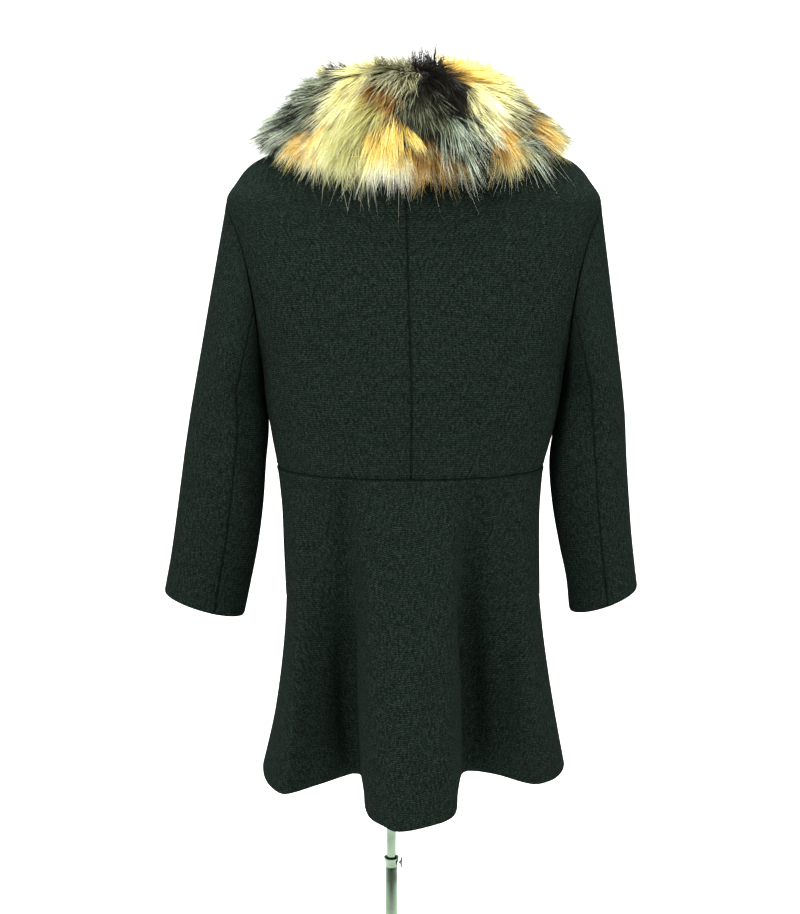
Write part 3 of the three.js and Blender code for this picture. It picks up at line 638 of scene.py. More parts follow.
def tucked_under(grid, side):
    """The left front is pushed in by one cloth where the right one lies over it."""
    if side > 0:
        return grid
    clear, flush = FRONT_LAP + LAP_FLAT, FRONT_LAP + LAP_RISE
    grid[..., 1] -= smooth((grid[..., 0] + flush) / (flush - clear)) * (CLOTH + LAP_CLEARANCE)
    return grid


def bodice_heights():
    """Rows up to the armpit, whose last close steps are left out, and up the armhole."""
    below = WAIST_Z + (ARMPIT_Z - WAIST_Z) * spaced(ARMPIT_Z - WAIST_Z)[:-4]
    quarters = np.arange(ARMHOLE_ROWS, -0.01, -0.25)
    return np.concatenate([below, armhole_height(quarters)])


def back_grid(side):
    shoulder = SHOULDER_Z + (NECK_Z - SHOULDER_Z) * SHOULDER_ROWS
    z = np.concatenate([bodice_heights(), shoulder])[:, None]
    middle = back_seam_angle(z)
    width = side * side_angle(z, BACK) - middle
    return ring_point(BODICE, z, middle + width * spaced(BACK_WIDTH)[None, :])


def front_grid(side):
    across = spaced(FRONT_WIDTH)[None, :]
    z = bodice_heights()[:, None] + 0 * across
    top = NECK_Z - FRONT_NECK_DROP * (1 - across) ** FRONT_NECK_CURVE
    z = np.concatenate([z, SHOULDER_Z + (top - SHOULDER_Z) * SHOULDER_ROWS[:, None]])
    angle = lap_angle(z) + (side_angle(z, FRONT) - lap_angle(z)) * across
    return tucked_under(ring_point(BODICE, z, side * angle), side)


def unit(vectors):
    return vectors / np.maximum(np.linalg.norm(vectors, axis=-1, keepdims=True), 1e-9)


def outward_normals(grid, mirrored):
    along, up = np.gradient(grid, axis=1), np.gradient(grid, axis=0)
    return unit(np.cross(along, up)) * (-1 if mirrored else 1)


def creased(grid, normals, creases, held_edges):
    """The grid with its soft creases, which fade out before the edges that a sleeve is sewn to."""
    rise = np.zeros(grid.shape[:2])
    for x0, z0, x1, z1, half_width, height, face in creases:
        run_x, run_z = x1 - x0, z1 - z0
        length = math.hypot(run_x, run_z)
        from_x, from_z = grid[..., 0] - x0, grid[..., 2] - z0
        along = (from_x * run_x + from_z * run_z) / length ** 2
        away = (from_x * run_z - from_z * run_x) / length
        wander = half_width * CREASE_WANDER * np.sin(CREASE_WAVES * along + height)
        ends = np.clip(1 - np.abs(2 * along - 1) ** CREASE_END_POWER, 0, None)
        facing = smooth(face * normals[..., 1] * CREASE_FACING)
        rise += height * ends * np.exp(-(((away + wander) / half_width) ** 2)) * facing
    distances = edge_distances(grid)
    for edge in held_edges:
        rise *= smooth(distances[edge] / HELD_REACH)
    return grid + normals * rise[..., None]


def edge_distances(grid):
    """How far each point is from the panel's first, last, bottom and top edge."""
    across = np.linalg.norm(np.diff(grid, axis=1), axis=-1)
    upward = np.linalg.norm(np.diff(grid, axis=0), axis=-1)
    across = np.concatenate([np.zeros((grid.shape[0], 1)), np.cumsum(across, 1)], 1)
    upward = np.concatenate([np.zeros((1, grid.shape[1])), np.cumsum(upward, 0)], 0)
    return {
        "first": across,
        "last": across[:, -1:] - across,
        "bottom": upward,
        "top": upward[-1:] - upward,
    }


coat_panels = {}


def add_panel(name, grid, mirrored, open_edges, flat, area, creases=(), held_edges=(), **more):
    """Keeps a cut piece's outer surface and its cloth, to be sewn when all pieces are there."""
    normals = outward_normals(grid, mirrored)
    grid = creased(grid, normals, creases, held_edges)
    coat_panels[name] = {
        "grid": grid,
        "mirrored": mirrored,
        "open_edges": open_edges,
        "flat": flat,
        "area": area,
        "normals": outward_normals(grid, mirrored),
        **more,
    }


SIDES = {"left": -1, "right": 1}
for side_name, side in SIDES.items():
    add_panel(
        f"bodice_back_{side_name}", back_grid(side), side < 0, ["top"], (0.29, 0.50), 0.109,
        BODY_CREASES, ["last"], rests_on=["dress_form_body"],
    )
    add_panel(
        f"bodice_front_{side_name}", front_grid(side), side > 0, ["top", "first"], (0.32, 0.50), 0.125,
        BODY_CREASES, ["last"], rests_on=["dress_form_body"],
    )

# The skirt: a back in one piece and two lapped fronts, cut on a curve and sewn to the level waist
# seam, so that they hang in a few deep bells. Its hem is turned up inside.
HEM_Z = 622.0
FOLD_RING = np.array([
    # angle on the waist in degrees, x and y at the hem
    [-204, 82, 174],
    [-192, 46, 164],
    [-180, 0, 166],
    [-163, -48, 166],
    [-151, -86, 174],
    [-139, -122, 146],
    [-124, -160, 82],
    [-107, -196, 44],
    [-90, -203, -12],
    [-72, -194, -69],
    [-61, -176, -107],
    [-54, -161, -114],
    [-40, -120, -80],
    [-31, -90, -54],
    [-24.5, -71, -52],
    [-20, -64, -111],
    [-16.5, -61, -167],
    [-13, -54, -195],
    [-9, -40, -215],
    [-4, -24, -233],
    [0, -6, -232],
    [5.5, 22, -216],
    [10.5, 41, -200],
    [14, 53, -175],
    [17.5, 57, -115],
    [22, 65, -48],
    [28, 80, -36],
    [38, 110, -47],
    [50, 145, -76],
    [58, 163, -80],
    [70, 188, -57],
    [90, 203, -8],
    [108, 194, 48],
    [125, 158, 86],
    [140, 118, 150],
    [152, 82, 176],
    [164, 46, 164],
    [180, 0, 166],
    [197, -48, 166],
    [209, -86, 174],
])
HIP_DRAW = np.array([
    # share of the length below the waist, how far the left and the right side are drawn in
    [0, 0, 0],
    [0.2, 7.5, 4.5],
    [0.5, 10, 1.5],
    [0.8, 8.5, 0],
    [1, 2, 0],
])
FLARE_START = 0.42  # share of the length below the waist where the sides start to swing out
FLARE_POWER = 1.4
BILLOW_POWER = 1.2
FINE_STEPS = 1600


def skirt_point(degrees, share):
    """Points at a waist angle and a share of the length, from the level waist to the folded hem."""
    degrees, share = np.broadcast_arrays(np.asarray(degrees, float), np.asarray(share, float))
    waist = ring_point(BODICE, WAIST_Z, np.radians(degrees))
    flare = np.clip((share - FLARE_START) / (1 - FLARE_START), 0, 1) ** FLARE_POWER
    billow = share ** BILLOW_POWER
    across = np.sin(np.radians(degrees))
    draw = np.where(across < 0, read_table(HIP_DRAW, 1, share), read_table(HIP_DRAW, 2, share))
    x = waist[..., 0] * (1 - flare) + read_table(FOLD_RING, 1, degrees) * flare
    y = waist[..., 1] * (1 - billow) + read_table(FOLD_RING, 2, degrees) * billow
    z = WAIST_Z + (HEM_Z - WAIST_Z) * share
    return np.stack([x - np.sign(across) * draw * across ** 4, y, z], -1)


def even_angles(start, end):
    """Waist angles whose points stand an even step apart along the hem."""
    fine = np.linspace(start, end, FINE_STEPS)
    steps = np.diff(skirt_point(fine, 1.0), axis=0)
    lengths = np.concatenate([[0], np.cumsum(np.linalg.norm(steps, axis=1))])
    return np.interp(spaced(lengths[-1]) * lengths[-1], lengths, fine)


def skirt_grid(start, end, side):
    share = 1 - spaced(WAIST_Z - HEM_Z)[:, None]
    return tucked_under(skirt_point(even_angles(start, end)[None, :], share), side)


add_panel(
    "skirt_back", skirt_grid(-90, 90, 1), False, ["bottom"], (0.86, 0.47), 0.249, BODY_CREASES,
    rests_on=["bodice_back_left", "bodice_back_right"], raised_top=True,
)
lap = math.degrees(float(lap_angle(WAIST_Z)))
for side_name, side in SIDES.items():
    add_panel(
        f"skirt_front_{side_name}", skirt_grid(side * lap, side * 90, side), side > 0,
        ["bottom", "first"], (0.37, 0.43), 0.125, BODY_CREASES,
        rests_on=[f"bodice_front_{side_name}"], raised_top=True,
    )

# A pocket is let into each side seam. Its lip, a strip of the same cloth of half the thickness,
# stands a little off the skirt at its free edge.
POCKET_TOP, POCKET_FOOT = 0.12, 0.43
POCKET_GAPE = {"left": 1.4, "right": 0.8}
POCKET_FIRST, POCKET_TURN = 90.6, 7.0
POCKET_STAND = 0.3
POCKET_COLUMNS = 8


def pocket_grid(side_name, side):
    rise = spaced((POCKET_FOOT - POCKET_TOP) * (WAIST_Z - HEM_Z))[:, None]
    across = np.linspace(0, 1, POCKET_COLUMNS)[None, :]
    share = POCKET_FOOT + (POCKET_TOP - POCKET_FOOT) * rise
    grid = skirt_point(side * (POCKET_FIRST + POCKET_TURN * across), share)
    gape = POCKET_GAPE[side_name] * np.sin(np.pi * rise) * (1 - across)
    grid[..., 0] += side * (CLOTH / 2 + POCKET_STAND + gape)
    return grid


for side_name, side in SIDES.items():
    add_panel(
        f"pocket_lip_{side_name}", pocket_grid(side_name, side), side < 0,
        ["bottom", "top", "first", "last"], (0.024, 0.128), 0.003,
        rests_on=[f"skirt_front_{side_name}"], wall=CLOTH / 2,
    )

# Two-piece sleeves: an upper and an under sleeve with a seam down the back of the arm and one down
# its front, eased into the armhole. They bend a little at the elbow, as they are cut to.
SLEEVE_RINGS = {
    # height, x, y, half width, half depth, lean and turn of the ring in degrees
    "left": np.array([
        [838, 278.5, 26, 55.5, 49, 17, 2],
        [885, 268.2, 20, 55.5, 52, 14, 0],
        [930, 259.4, 14, 56, 55, 12, 0],
        [985, 251, 9, 55.5, 58, 11, 0],
        [1040, 244.4, 6, 53.5, 61, 11, 0],
        [1090, 237.9, 4, 51.4, 64, 10, 0],
        [1135, 235.9, 2, 44.7, 67, 10, 0],
    ]),
    "right": np.array([
        [843, 254.5, 30, 48, 51, 20, -18],
        [885, 248.6, 23, 46.7, 53, 16, -18],
        [930, 240.2, 16, 48.4, 56, 12, -20],
        [985, 232, 10, 50.5, 59, 9, -22],
        [1040, 227.2, 6, 50.2, 62, 7, -22],
        [1090, 228.6, 4, 45.4, 64, 7, -14],
        [1135, 230, 2, 38.6, 67, 7, -6],
    ]),
}
SLEEVE_BACK_SEAM, SLEEVE_FRONT_SEAM = 6, 14  # the armhole's points where the seams run
SLEEVE_STEP = 17.5  # the usual distance between two of these points
CAP_BULGE = 7.0
CAP_ROWS = np.append(np.linspace(0, 1, 34)[:-1], [0.985, 0.994, 1.0])
SLEEVE_CREASES = {
    "left": [
        (-243, 1262, -214, 900, 11, 4.2, ON_BACK),
        (-262, 1230, -240, 960, 13, -2.4, ON_BACK),
        (-296, 1090, -250, 1060, 8, -1.4, ON_BACK),
        (-300, 1052, -262, 1012, 9, 1.3, ON_BACK),
        (-300, 960, -258, 930, 9, -1.0, ON_BACK),
        (-292, 1110, -236, 1064, 10, -2.2, ON_FRONT),
        (-286, 1070, -240, 1022, 9, 2.0, ON_FRONT),
        (-280, 1030, -246, 980, 9, -1.8, ON_FRONT),
    ],
    "right": [
        (224, 1240, 256, 1010, 12, 3.4, ON_BACK),
        (202, 1216, 218, 1040, 10, -2.2, ON_BACK),
        (214, 1062, 280, 1086, 7, -1.5, ON_BACK),
        (218, 1034, 284, 1058, 8, 1.6, ON_BACK),
        (226, 1004, 282, 1030, 7, -1.2, ON_BACK),
        (240, 960, 296, 984, 9, 1.0, ON_BACK),
        (210, 1080, 268, 1112, 10, -2.2, ON_FRONT),
        (214, 1036, 270, 1070, 9, 2.0, ON_FRONT),
        (222, 1000, 276, 1026, 9, -1.8, ON_FRONT),
    ],
}


def armhole_point(side, k):
    """Point k round the armhole: 0 at the shoulder, 10 at the armpit, then up the front."""
    k = np.mod(k, 2 * ARMHOLE_ROWS)
    behind = k <= ARMHOLE_ROWS
    z = armhole_height(np.where(behind, k, 2 * ARMHOLE_ROWS - k))
    angle = np.where(behind, side_angle(z, BACK), side_angle(z, FRONT))
    return ring_point(BODICE, z, side * angle)


def sleeve_point(table, side, z, k):
    z, k = np.broadcast_arrays(np.asarray(z, float), np.asarray(k, float))
    x, y, wide, deep, lean, turn = (read_table(table, column, z) for column in range(1, 7))
    around = np.pi * k / ARMHOLE_ROWS + np.radians(turn)
    across = wide * np.cos(around)
    lean = np.radians(lean)
    return np.stack(
        [side * (x + across * np.cos(lean)), y - deep * np.sin(around), z + across * np.sin(lean)],
        -1,
    )


def sleeve_grid(side_name, side, start, end):
    """The arm, without the last close steps of its rows, and then the cap up to the armhole."""
    table = SLEEVE_RINGS[side_name]
    cuff, upper = table[0, 0], table[-1, 0]
    k = start + (end - start) * spaced((end - start) * SLEEVE_STEP)[None, :]
    arm_rise = spaced(upper - cuff)[:-3]
    arm = sleeve_point(table, side, (cuff + (upper - cuff) * arm_rise)[:, None], k)
    share = CAP_ROWS[:, None, None]
    top, hole = sleeve_point(table, side, upper, k), armhole_point(side, k)
    cap = top * (1 - share) + hole * share
    bulge = np.sin(np.pi * share[..., 0]) * np.sin(np.pi * k / ARMHOLE_ROWS)
    cap[..., 1] -= CAP_BULGE * bulge
    return np.concatenate([arm, cap])


for side_name, side in SIDES.items():
    upper_end = SLEEVE_BACK_SEAM + 2 * ARMHOLE_ROWS
    for part_name, start, end, flat, area in [
        ("upper_sleeve", SLEEVE_FRONT_SEAM, upper_end, (0.33, 0.53), 0.099),
        ("under_sleeve", SLEEVE_BACK_SEAM, SLEEVE_FRONT_SEAM, (0.195, 0.415), 0.051),
    ]:
        add_panel(
            f"{part_name}_{side_name}", sleeve_grid(side_name, side, start, end), side > 0,
            ["bottom"], flat, area, SLEEVE_CREASES[side_name], ["top"],
            rests_on=[f"bodice_back_{side_name}"],
        )

# Sewn together, the walls end on one mitre where two pieces meet, and each seam is a narrow groove
# between two slightly raised edges. Free edges are turned in round. A twill lining shows inside.
SEAM_DIP, SEAM_DIP_WIDTH = 0.9, 1.7
SEAM_WELT, SEAM_WELT_AT, SEAM_WELT_WIDTH = 0.45, 5.0, 3.0
WAIST_WELT = 0.9
# how far the painted shade along each seam reaches
SEAM_SHADE_WIDTH = 1.6
FACING = 38.0  # how far the wool turns in before the lining starts
FAR = 1000.0
MEETING = 3.2  # edge points of two pieces that are nearer than this are sewn together
SAME_WAY = 0.3  # the least cosine between the pieces' outward directions there
MITRE_REACH = 14.0
RIB_PITCH, TWILL_PITCH = 0.0026, 0.0011  # metres


def wool_finish():
    """Fine broken ribs across, flecks and clouds of other greens, a diagonal grain and nap, and
    painted shade darkening the seams.
    """
    wool = Finish("double_wool")
    across_up = wool.node("ShaderNodeUVMap", {"uv_map": "cloth"}, {})
    uneven = wool.noise(wool.mapped(across_up, (150, 420, 1)), 1.0, 2)
    upward = wool.part(across_up, 1)
    ribs = (upward * (2 * math.pi / RIB_PITCH) + uneven * 3.0).sine() * 0.5 + 0.5
    broken = wool.noise(wool.mapped(across_up, (290, 560, 1)), 1.0, 2).between(0.36, 0.62)
    grain = wool.noise(wool.mapped(across_up, (420, 110, 1), math.radians(-38)), 1.0, 3)
    fleck = wool.noise(wool.mapped(across_up, (470, 620, 1)), 1.0, 3).between(0.52, 0.72)
    cloud = wool.noise(wool.mapped(across_up, (42, 60, 1), math.radians(30)), 1.0, 4)
    heather = wool.noise(wool.mapped(across_up, (760, 900, 1)), 1.0, 2)
    nap = wool.noise(across_up, 2600.0, 2)
    dark = wool.mix(cloud.between(0.3, 0.7), colour(8, 14, 12), colour(14, 21, 17))
    yarn = wool.mix(ribs * broken, dark, colour(38, 49, 43))
    yarn = wool.mix(heather.between(0.42, 0.62) * 0.35, yarn, colour(31, 42, 36))
    yarn = wool.mix(fleck * 0.4, yarn, colour(62, 76, 66))
    yarn = wool.mix(grain.between(0.38, 0.66) * 0.6, yarn, colour(6, 10, 8))
    # Painted shade: the cloth turns near-black along every seam, standing in for the shadow in its
    # groove.
    yarn = wool.mix(wool.painted("seam", "Fac") * 0.6, yarn, colour(5, 8, 7))
    relief = ribs * broken * 0.5 + fleck * 0.45 + grain * 0.5 + nap * 0.35
    wool.set(
        Base_Color=yarn,
        Roughness=0.95,
        Specular_IOR_Level=0.0,
        Sheen_Weight=0.008,
        Sheen_Roughness=0.5,
        Sheen_Tint=(0.72, 0.85, 0.78, 1),
        Normal=wool.bump(relief, 0.00042),
    )
    return wool


def lining_finish():
    """A smooth dark green twill, whose fine diagonal catches the light."""
    lining = Finish("twill_lining")
    across_up = lining.node("ShaderNodeUVMap", {"uv_map": "cloth"}, {})
    diagonal = lining.part(across_up, 0) + lining.part(across_up, 1)
    twill = (diagonal * (2 * math.pi / TWILL_PITCH)).sine() * 0.5 + 0.5
    soft = lining.noise(across_up, 30.0, 3)
    lining.set(
        Base_Color=lining.mix(soft, colour(20, 27, 25), colour(30, 39, 35)),
        Roughness=0.34 + 0.12 * twill,
        Normal=lining.bump(twill, 0.00008),
    )
    return lining


def share_seam_normals(panels):
    """Where the edges of two pieces meet, both walls take the same direction through the cloth."""
    spots = []
    for name, panel in panels.items():
        rows, columns = panel["grid"].shape[:2]
        for r in range(rows):
            for c in ([0, columns - 1] if 0 < r < rows - 1 else range(columns)):
                spots.append((name, r, c))
    tree = KDTree(len(spots))
    for i, (name, r, c) in enumerate(spots):
        tree.insert(panels[name]["grid"][r, c], i)
    tree.balance()
    shared = {name: panel["normals"].copy() for name, panel in panels.items()}
    for name, r, c in spots:
        own = panels[name]["normals"][r, c]
        total, seen = own.copy(), {name}
        near = tree.find_range(panels[name]["grid"][r, c], MEETING)
        for _, i, _ in sorted(near, key=lambda found: found[2]):
            other, other_r, other_c = spots[i]
            normal = panels[other]["normals"][other_r, other_c]
            if other not in seen and own @ normal > SAME_WAY:
                seen.add(other)
                total += normal
        shared[name][r, c] = total / np.linalg.norm(total)
    return shared


def blended_normals(panel, shared):
    """The mitre's turn dies away over a short distance from each edge."""
    normals, distances = panel["normals"].copy(), edge_distances(panel["grid"])
    turn = shared - panel["normals"]
    fades = {edge: (1 - smooth(distances[edge] / MITRE_REACH))[..., None] for edge in distances}
    side_turns = turn[:, :1] * fades["first"] + turn[:, -1:] * fades["last"]
    end_turns = turn[:1] * fades["bottom"] + turn[-1:] * fades["top"]
    corner_share = np.maximum(fades["first"], fades["last"])
    normals = unit(normals + side_turns + end_turns * (1 - corner_share))
    for edge in (np.s_[:, 0], np.s_[:, -1], np.s_[0], np.s_[-1]):
        normals[edge] = shared[edge]
    return normals


def drawn_in(grid):
    """The grid with its four edges drawn in by half of the seam gap."""
    moved = grid.copy()
    for edge, inner in [
        (np.s_[0, :], np.s_[1, :]),
        (np.s_[-1, :], np.s_[-2, :]),
        (np.s_[:, 0], np.s_[:, 1]),
        (np.s_[:, -1], np.s_[:, -2]),
    ]:
        line = unit(np.gradient(grid[edge], axis=0))
        away = grid[inner] - grid[edge]
        away -= line * np.sum(away * line, -1, keepdims=True)
        moved[edge] += unit(away) * SEAM_GAP / 2
    return moved


def wall_faces(rows, columns, mirrored):
    """Outer faces, inner faces and the faces of the four edges of a wall of cloth."""
    index = np.arange(rows * columns).reshape(rows, columns)
    inside = index + rows * columns

    def quads(a, b, c, d):
        corners = np.stack([a, b, c, d], -1).reshape(-1, 4)
        return corners[:, ::-1] if mirrored else corners

    outer = quads(index[:-1, :-1], index[:-1, 1:], index[1:, 1:], index[1:, :-1])
    inner = quads(inside[1:, :-1], inside[1:, 1:], inside[:-1, 1:], inside[:-1, :-1])
    edges = [
        quads(inside[0, :-1], inside[0, 1:], index[0, 1:], index[0, :-1]),
        quads(index[-1, :-1], index[-1, 1:], inside[-1, 1:], inside[-1, :-1]),
        quads(index[:-1, 0], index[1:, 0], inside[1:, 0], inside[:-1, 0]),
        quads(inside[:-1, -1], inside[1:, -1], index[1:, -1], index[:-1, -1]),
    ]
    return outer, inner, np.concatenate(edges)


def soft_rise(distance, place, width):
    """A soft round rise at a distance from an edge, 1 at its place."""
    return np.exp(-(((distance - place) / width) ** 2))


def sewn_piece(name, panel, normals, finishes):
    """The wall of one cut piece, with its seams' grooves and welts, its lining and its weave."""
    distances = edge_distances(panel["grid"])
    wall = panel.get("wall", CLOTH)
    nearest = np.minimum.reduce(list(distances.values()))
    free = [distances[edge] for edge in panel["open_edges"]]
    sewn = [distances[edge] for edge in distances if edge not in panel["open_edges"]]
    to_free = np.minimum.reduce(free) if free else nearest + FAR
    to_seam = np.minimum.reduce(sewn) if sewn else nearest + FAR
    dip = SEAM_DIP * wall / CLOTH * soft_rise(nearest, 0, SEAM_DIP_WIDTH)
    welt = SEAM_WELT * soft_rise(to_seam, SEAM_WELT_AT, SEAM_WELT_WIDTH)
    if panel.get("raised_top"):
        welt += WAIST_WELT * soft_rise(distances["top"], SEAM_WELT_AT, SEAM_WELT_WIDTH)
    grid = drawn_in(panel["grid"])
    outer = grid + normals * (welt - dip)[..., None]
    inner = grid - normals * (wall - dip)[..., None]
    rows, columns = grid.shape[:2]
    outer_faces, inner_faces, edge_faces = wall_faces(rows, columns, panel["mirrored"])
    lined = (to_free[:-1, :-1] > FACING).ravel() & (wall == CLOTH)
    face_finish = np.concatenate([np.zeros(len(outer_faces)), lined, np.zeros(len(edge_faces))])
    points = (np.concatenate([outer.reshape(-1, 3), inner.reshape(-1, 3)]) + [COAT_X, 0, 0]) * MM
    faces = np.concatenate([outer_faces, inner_faces, edge_faces]).tolist()
    piece = new_object(name, points, faces, finishes, face_finish.astype(int).tolist())
    middle = distances["first"][:, columns // 2: columns // 2 + 1]
    flat_places = np.stack([distances["first"] - middle, distances["bottom"]], -1)
    # How near a seam is, for the painted shade that darkens the wool there.
    seam_shade = soft_rise(to_seam, 0, SEAM_SHADE_WIDTH).ravel()
    paint_cloth(piece, flat_places.reshape(-1, 2) * MM, seam_shade)
    return piece


def paint_cloth(piece, flat_places, seam):
    """The places on the flat cloth, which the weave follows, and how near a seam is, by which the wool
    is painted darker as shade in the seam's groove.
    """
    mesh = piece.data
    corner_points = np.empty(len(mesh.loops), int)
    mesh.loops.foreach_get("vertex_index", corner_points)
    both_walls = np.concatenate([flat_places, flat_places])
    layer = mesh.uv_layers.new(name="cloth")
    layer.data.foreach_set("uv", both_walls[corner_points].ravel())
    seam_painted_shade = mesh.attributes.new("seam", "FLOAT", "POINT")
    seam_painted_shade.data.foreach_set("value", np.concatenate([seam, seam]))


wool, lining = wool_finish(), lining_finish()
seam_normals = share_seam_normals(coat_panels)
for name, panel in coat_panels.items():
    normals = blended_normals(panel, seam_normals[name])
    panel["piece"] = sewn_piece(f"{name}_cloth", panel, normals, [wool, lining])
    fit(panel["piece"], "worn_form", name)

# The fur collar: pelts of many colours sewn into a patchwork that stands up round the neck and
# falls over the shoulders. Under the hair is the skin, in the pelts' root colours with painted shade.
COLLAR_BACK = np.array([
    # place along the section, distance out from the neck's axis, height
    [0, 62, 1452],
    [1, 62, 1486],
    [2, 73, 1522],
    [3, 96, 1546],
    [4, 126, 1524],
    [5, 147, 1476],
    [6, 154, 1426],
    [7, 142, 1400],
    [8, 116, 1394],
])
COLLAR_SIDE = np.array([
    [0, 80, 1452],
    [1, 80, 1486],
    [2, 88, 1520],
    [3, 104, 1536],
    [4, 133, 1512],
    [5, 158, 1484],
    [6, 185, 1458],
    [7, 192, 1438],
    [8, 184, 1426],
])
COLLAR_FRONT = np.array([
    [0, 66, 1430],
    [1, 70, 1456],
    [2, 82, 1482],
    [3, 104, 1492],
    [4, 134, 1466],
    [5, 156, 1416],
    [6, 166, 1360],
    [7, 160, 1318],
    [8, 138, 1308],
])
SECTION_END = 8
COLLAR_FRONT_GAP = 3.0  # degrees on each side of the middle of the front
COLLAR_SLOUCH, SLOUCH_FROM, SLOUCH_OVER = 7.0, 1430.0, 90.0
SKIN_COLUMNS, SKIN_ROWS, UNDER_ROWS = 220, 68, 14
PELT_CLEARANCE = 2.0
ROOF_FOOT, ROOF_STEPS = 1250.0, 120
PELT_DEPTH = np.array([
    # place along the section, how far the skin lies under the hair's outline
    [0, 8],
    [2, 14],
    [3, 21],
    [5, 20],
    [6, 20],
    [7, 28],
    [8, 22],
])
FUR_TONES = {
    # the hair at its root, whose underfur tone is made darker as painted shade, along its length and
    # at its tip, and the share of dark hairs in it
    "silver": (colour(22, 22, 13), colour(130, 146, 118), colour(244, 255, 232), 0.54),
    "charcoal": (colour(28, 28, 17), colour(54, 54, 37), colour(176, 184, 146), 0.52),
    "cream": (colour(140, 120, 66), colour(230, 225, 158), colour(250, 250, 212), 0.05),
    "brown": (colour(62, 56, 34), colour(138, 136, 96), colour(214, 212, 162), 0.34),
    "black": (colour(12, 10, 4), colour(15, 13, 6), colour(26, 24, 12), 0.40),
    "gold": (colour(172, 132, 52), colour(230, 200, 100), colour(252, 236, 160), 0.02),
    "orange": (colour(142, 86, 26), colour(210, 166, 74), colour(250, 240, 166), 0.08),
    "auburn": (colour(70, 44, 16), colour(132, 92, 40), colour(206, 176, 104), 0.2),
    "taupe": (colour(98, 88, 46), colour(192, 188, 114), colour(232, 234, 172), 0.16),
    "white": (colour(186, 182, 132), colour(240, 240, 198), colour(253, 253, 236), 0.02),
}
# Each pelt: angle round the neck, place along the section, tone, hair length, turn of the comb
# to the right in degrees, and how far the hair stands up
PELTS = [
    (-60, 5.2, "silver", 48, -44, 1.3),
    (-66, 6.4, "silver", 34, -26, 0.55),
    (-38, 4.1, "charcoal", 38, -40, 0.5),
    (-20, 4.3, "cream", 34, -24, 0.55),
    (-24, 5.0, "cream", 34, -26, 0.7),
    (-5, 4.2, "brown", 38, -26, 0.75),
    (9, 4.0, "black", 42, 8, 0.85),
    (14, 4.7, "black", 36, 0, 0.6),
    (3, 5.2, "charcoal", 32, 0, 0.35),
    (24, 3.8, "gold", 36, 42, 1.1),
    (36, 3.9, "gold", 36, 50, 1.1),
    (27, 4.9, "cream", 38, 8, 0.8),
    (43, 4.5, "cream", 42, 40, 1.25),
    (49, 4.9, "charcoal", 42, 36, 0.9),
    (49, 6.7, "silver", 48, 12, 0.5),
    (62, 5.8, "orange", 42, 30, 0.9),
    (68, 7.1, "charcoal", 30, 20, 0.4),
    (-9, 5.2, "taupe", 42, -34, 0.85),
    (-20, 5.5, "taupe", 38, -34, 0.6),
    (-46, 6.5, "orange", 36, -6, 0.5),
    (-34, 6.6, "cream", 36, -8, 0.45),
    (-18, 6.3, "taupe", 38, -14, 0.45),
    (-5, 5.7, "gold", 38, 6, 0.7),
    (-6, 6.6, "white", 38, 2, 0.5),
    (3, 6.5, "auburn", 40, 6, 0.45),
    (-8, 4.9, "auburn", 34, -40, 0.6),
    (14, 5.8, "silver", 42, 14, 0.9),
    (26, 6.5, "black", 34, -4, 0.35),
    (33, 6.2, "orange", 36, 10, 0.45),
    (-86, 5.4, "silver", 46, -10, 1.15),
    (-84, 4.0, "taupe", 32, -20, 0.5),
    (-104, 6.0, "charcoal", 34, 8, 0.6),
    (-112, 4.6, "cream", 34, -12, 0.8),
    (-128, 5.8, "orange", 34, 16, 0.6),
    (-134, 4.2, "silver", 36, -10, 0.9),
    (-150, 6.4, "taupe", 36, 12, 0.5),
    (-158, 5.0, "brown", 34, -14, 0.7),
    (-172, 6.6, "gold", 36, 4, 0.4),
    (-170, 4.0, "cream", 32, 0, 0.8),
    (88, 5.4, "silver", 40, 14, 1.1),
    (86, 4.0, "taupe", 36, 20, 1.2),
    (108, 6.0, "cream", 34, -12, 0.6),
    (112, 4.6, "brown", 34, 10, 0.8),
    (130, 5.6, "taupe", 34, -16, 0.6),
    (134, 4.1, "orange", 34, 8, 0.9),
    (150, 6.4, "silver", 36, -12, 0.5),
    (156, 5.0, "gold", 34, 12, 0.7),
    (172, 6.6, "charcoal", 36, -4, 0.4),
    (170, 4.0, "white", 32, 0, 0.8),
    (-30, 1.6, "taupe", 20, 0, 0.5),
    (20, 1.6, "brown", 20, 0, 0.5),
    (70, 1.6, "cream", 20, 0, 0.5),
    (120, 1.6, "silver", 20, 0, 0.5),
    (170, 1.6, "orange", 20, 0, 0.5),
    (-150, 1.6, "brown", 20, 0, 0.5),
    (-90, 1.6, "cream", 20, 0, 0.5),
]
TONE, LENGTH, COMB, LIFT = 2, 3, 4, 5
ROOT, SHAFT, DARK_SHARE = 0, 1, 3
PELT_STEP = 26.0  # millimetres that one step along the section is worth
PELT_GIRTH = 2.3  # and one degree round the neck
BORDER_ROUND, BORDER_ALONG = 3.5, 0.22  # how far a pelt's border wanders
ROUND_SEED, ALONG_SEED = 11, 12


def collar_outward(angle):
    """Straight out from the neck, level, in the direction of the bodice's top ring."""
    way = ring_point(BODICE, NECK_Z, angle)
    way[..., 2] = 0
    return way / np.linalg.norm(way, axis=-1, keepdims=True)


def collar_section(angle, place):
    """Distance out, height and the section's own outward slope at a place along it."""
    side = np.sin(angle) ** 2

    def station(column, at):
        back, front = read_table(COLLAR_BACK, column, at), read_table(COLLAR_FRONT, column, at)
        face = np.where(np.cos(angle) > 0, back, front)
        return face * (1 - side) + read_table(COLLAR_SIDE, column, at) * side

    nudge = 0.02
    out, z = station(1, place), station(2, place)
    low, high = (np.clip(place + step, 0, SECTION_END) for step in (-nudge, nudge))
    run_out = station(1, high) - station(1, low)
    run_z = station(2, high) - station(2, low)
    length = np.maximum(np.hypot(run_out, run_z), 1e-9)
    return out, z, -run_z / length, run_out / length


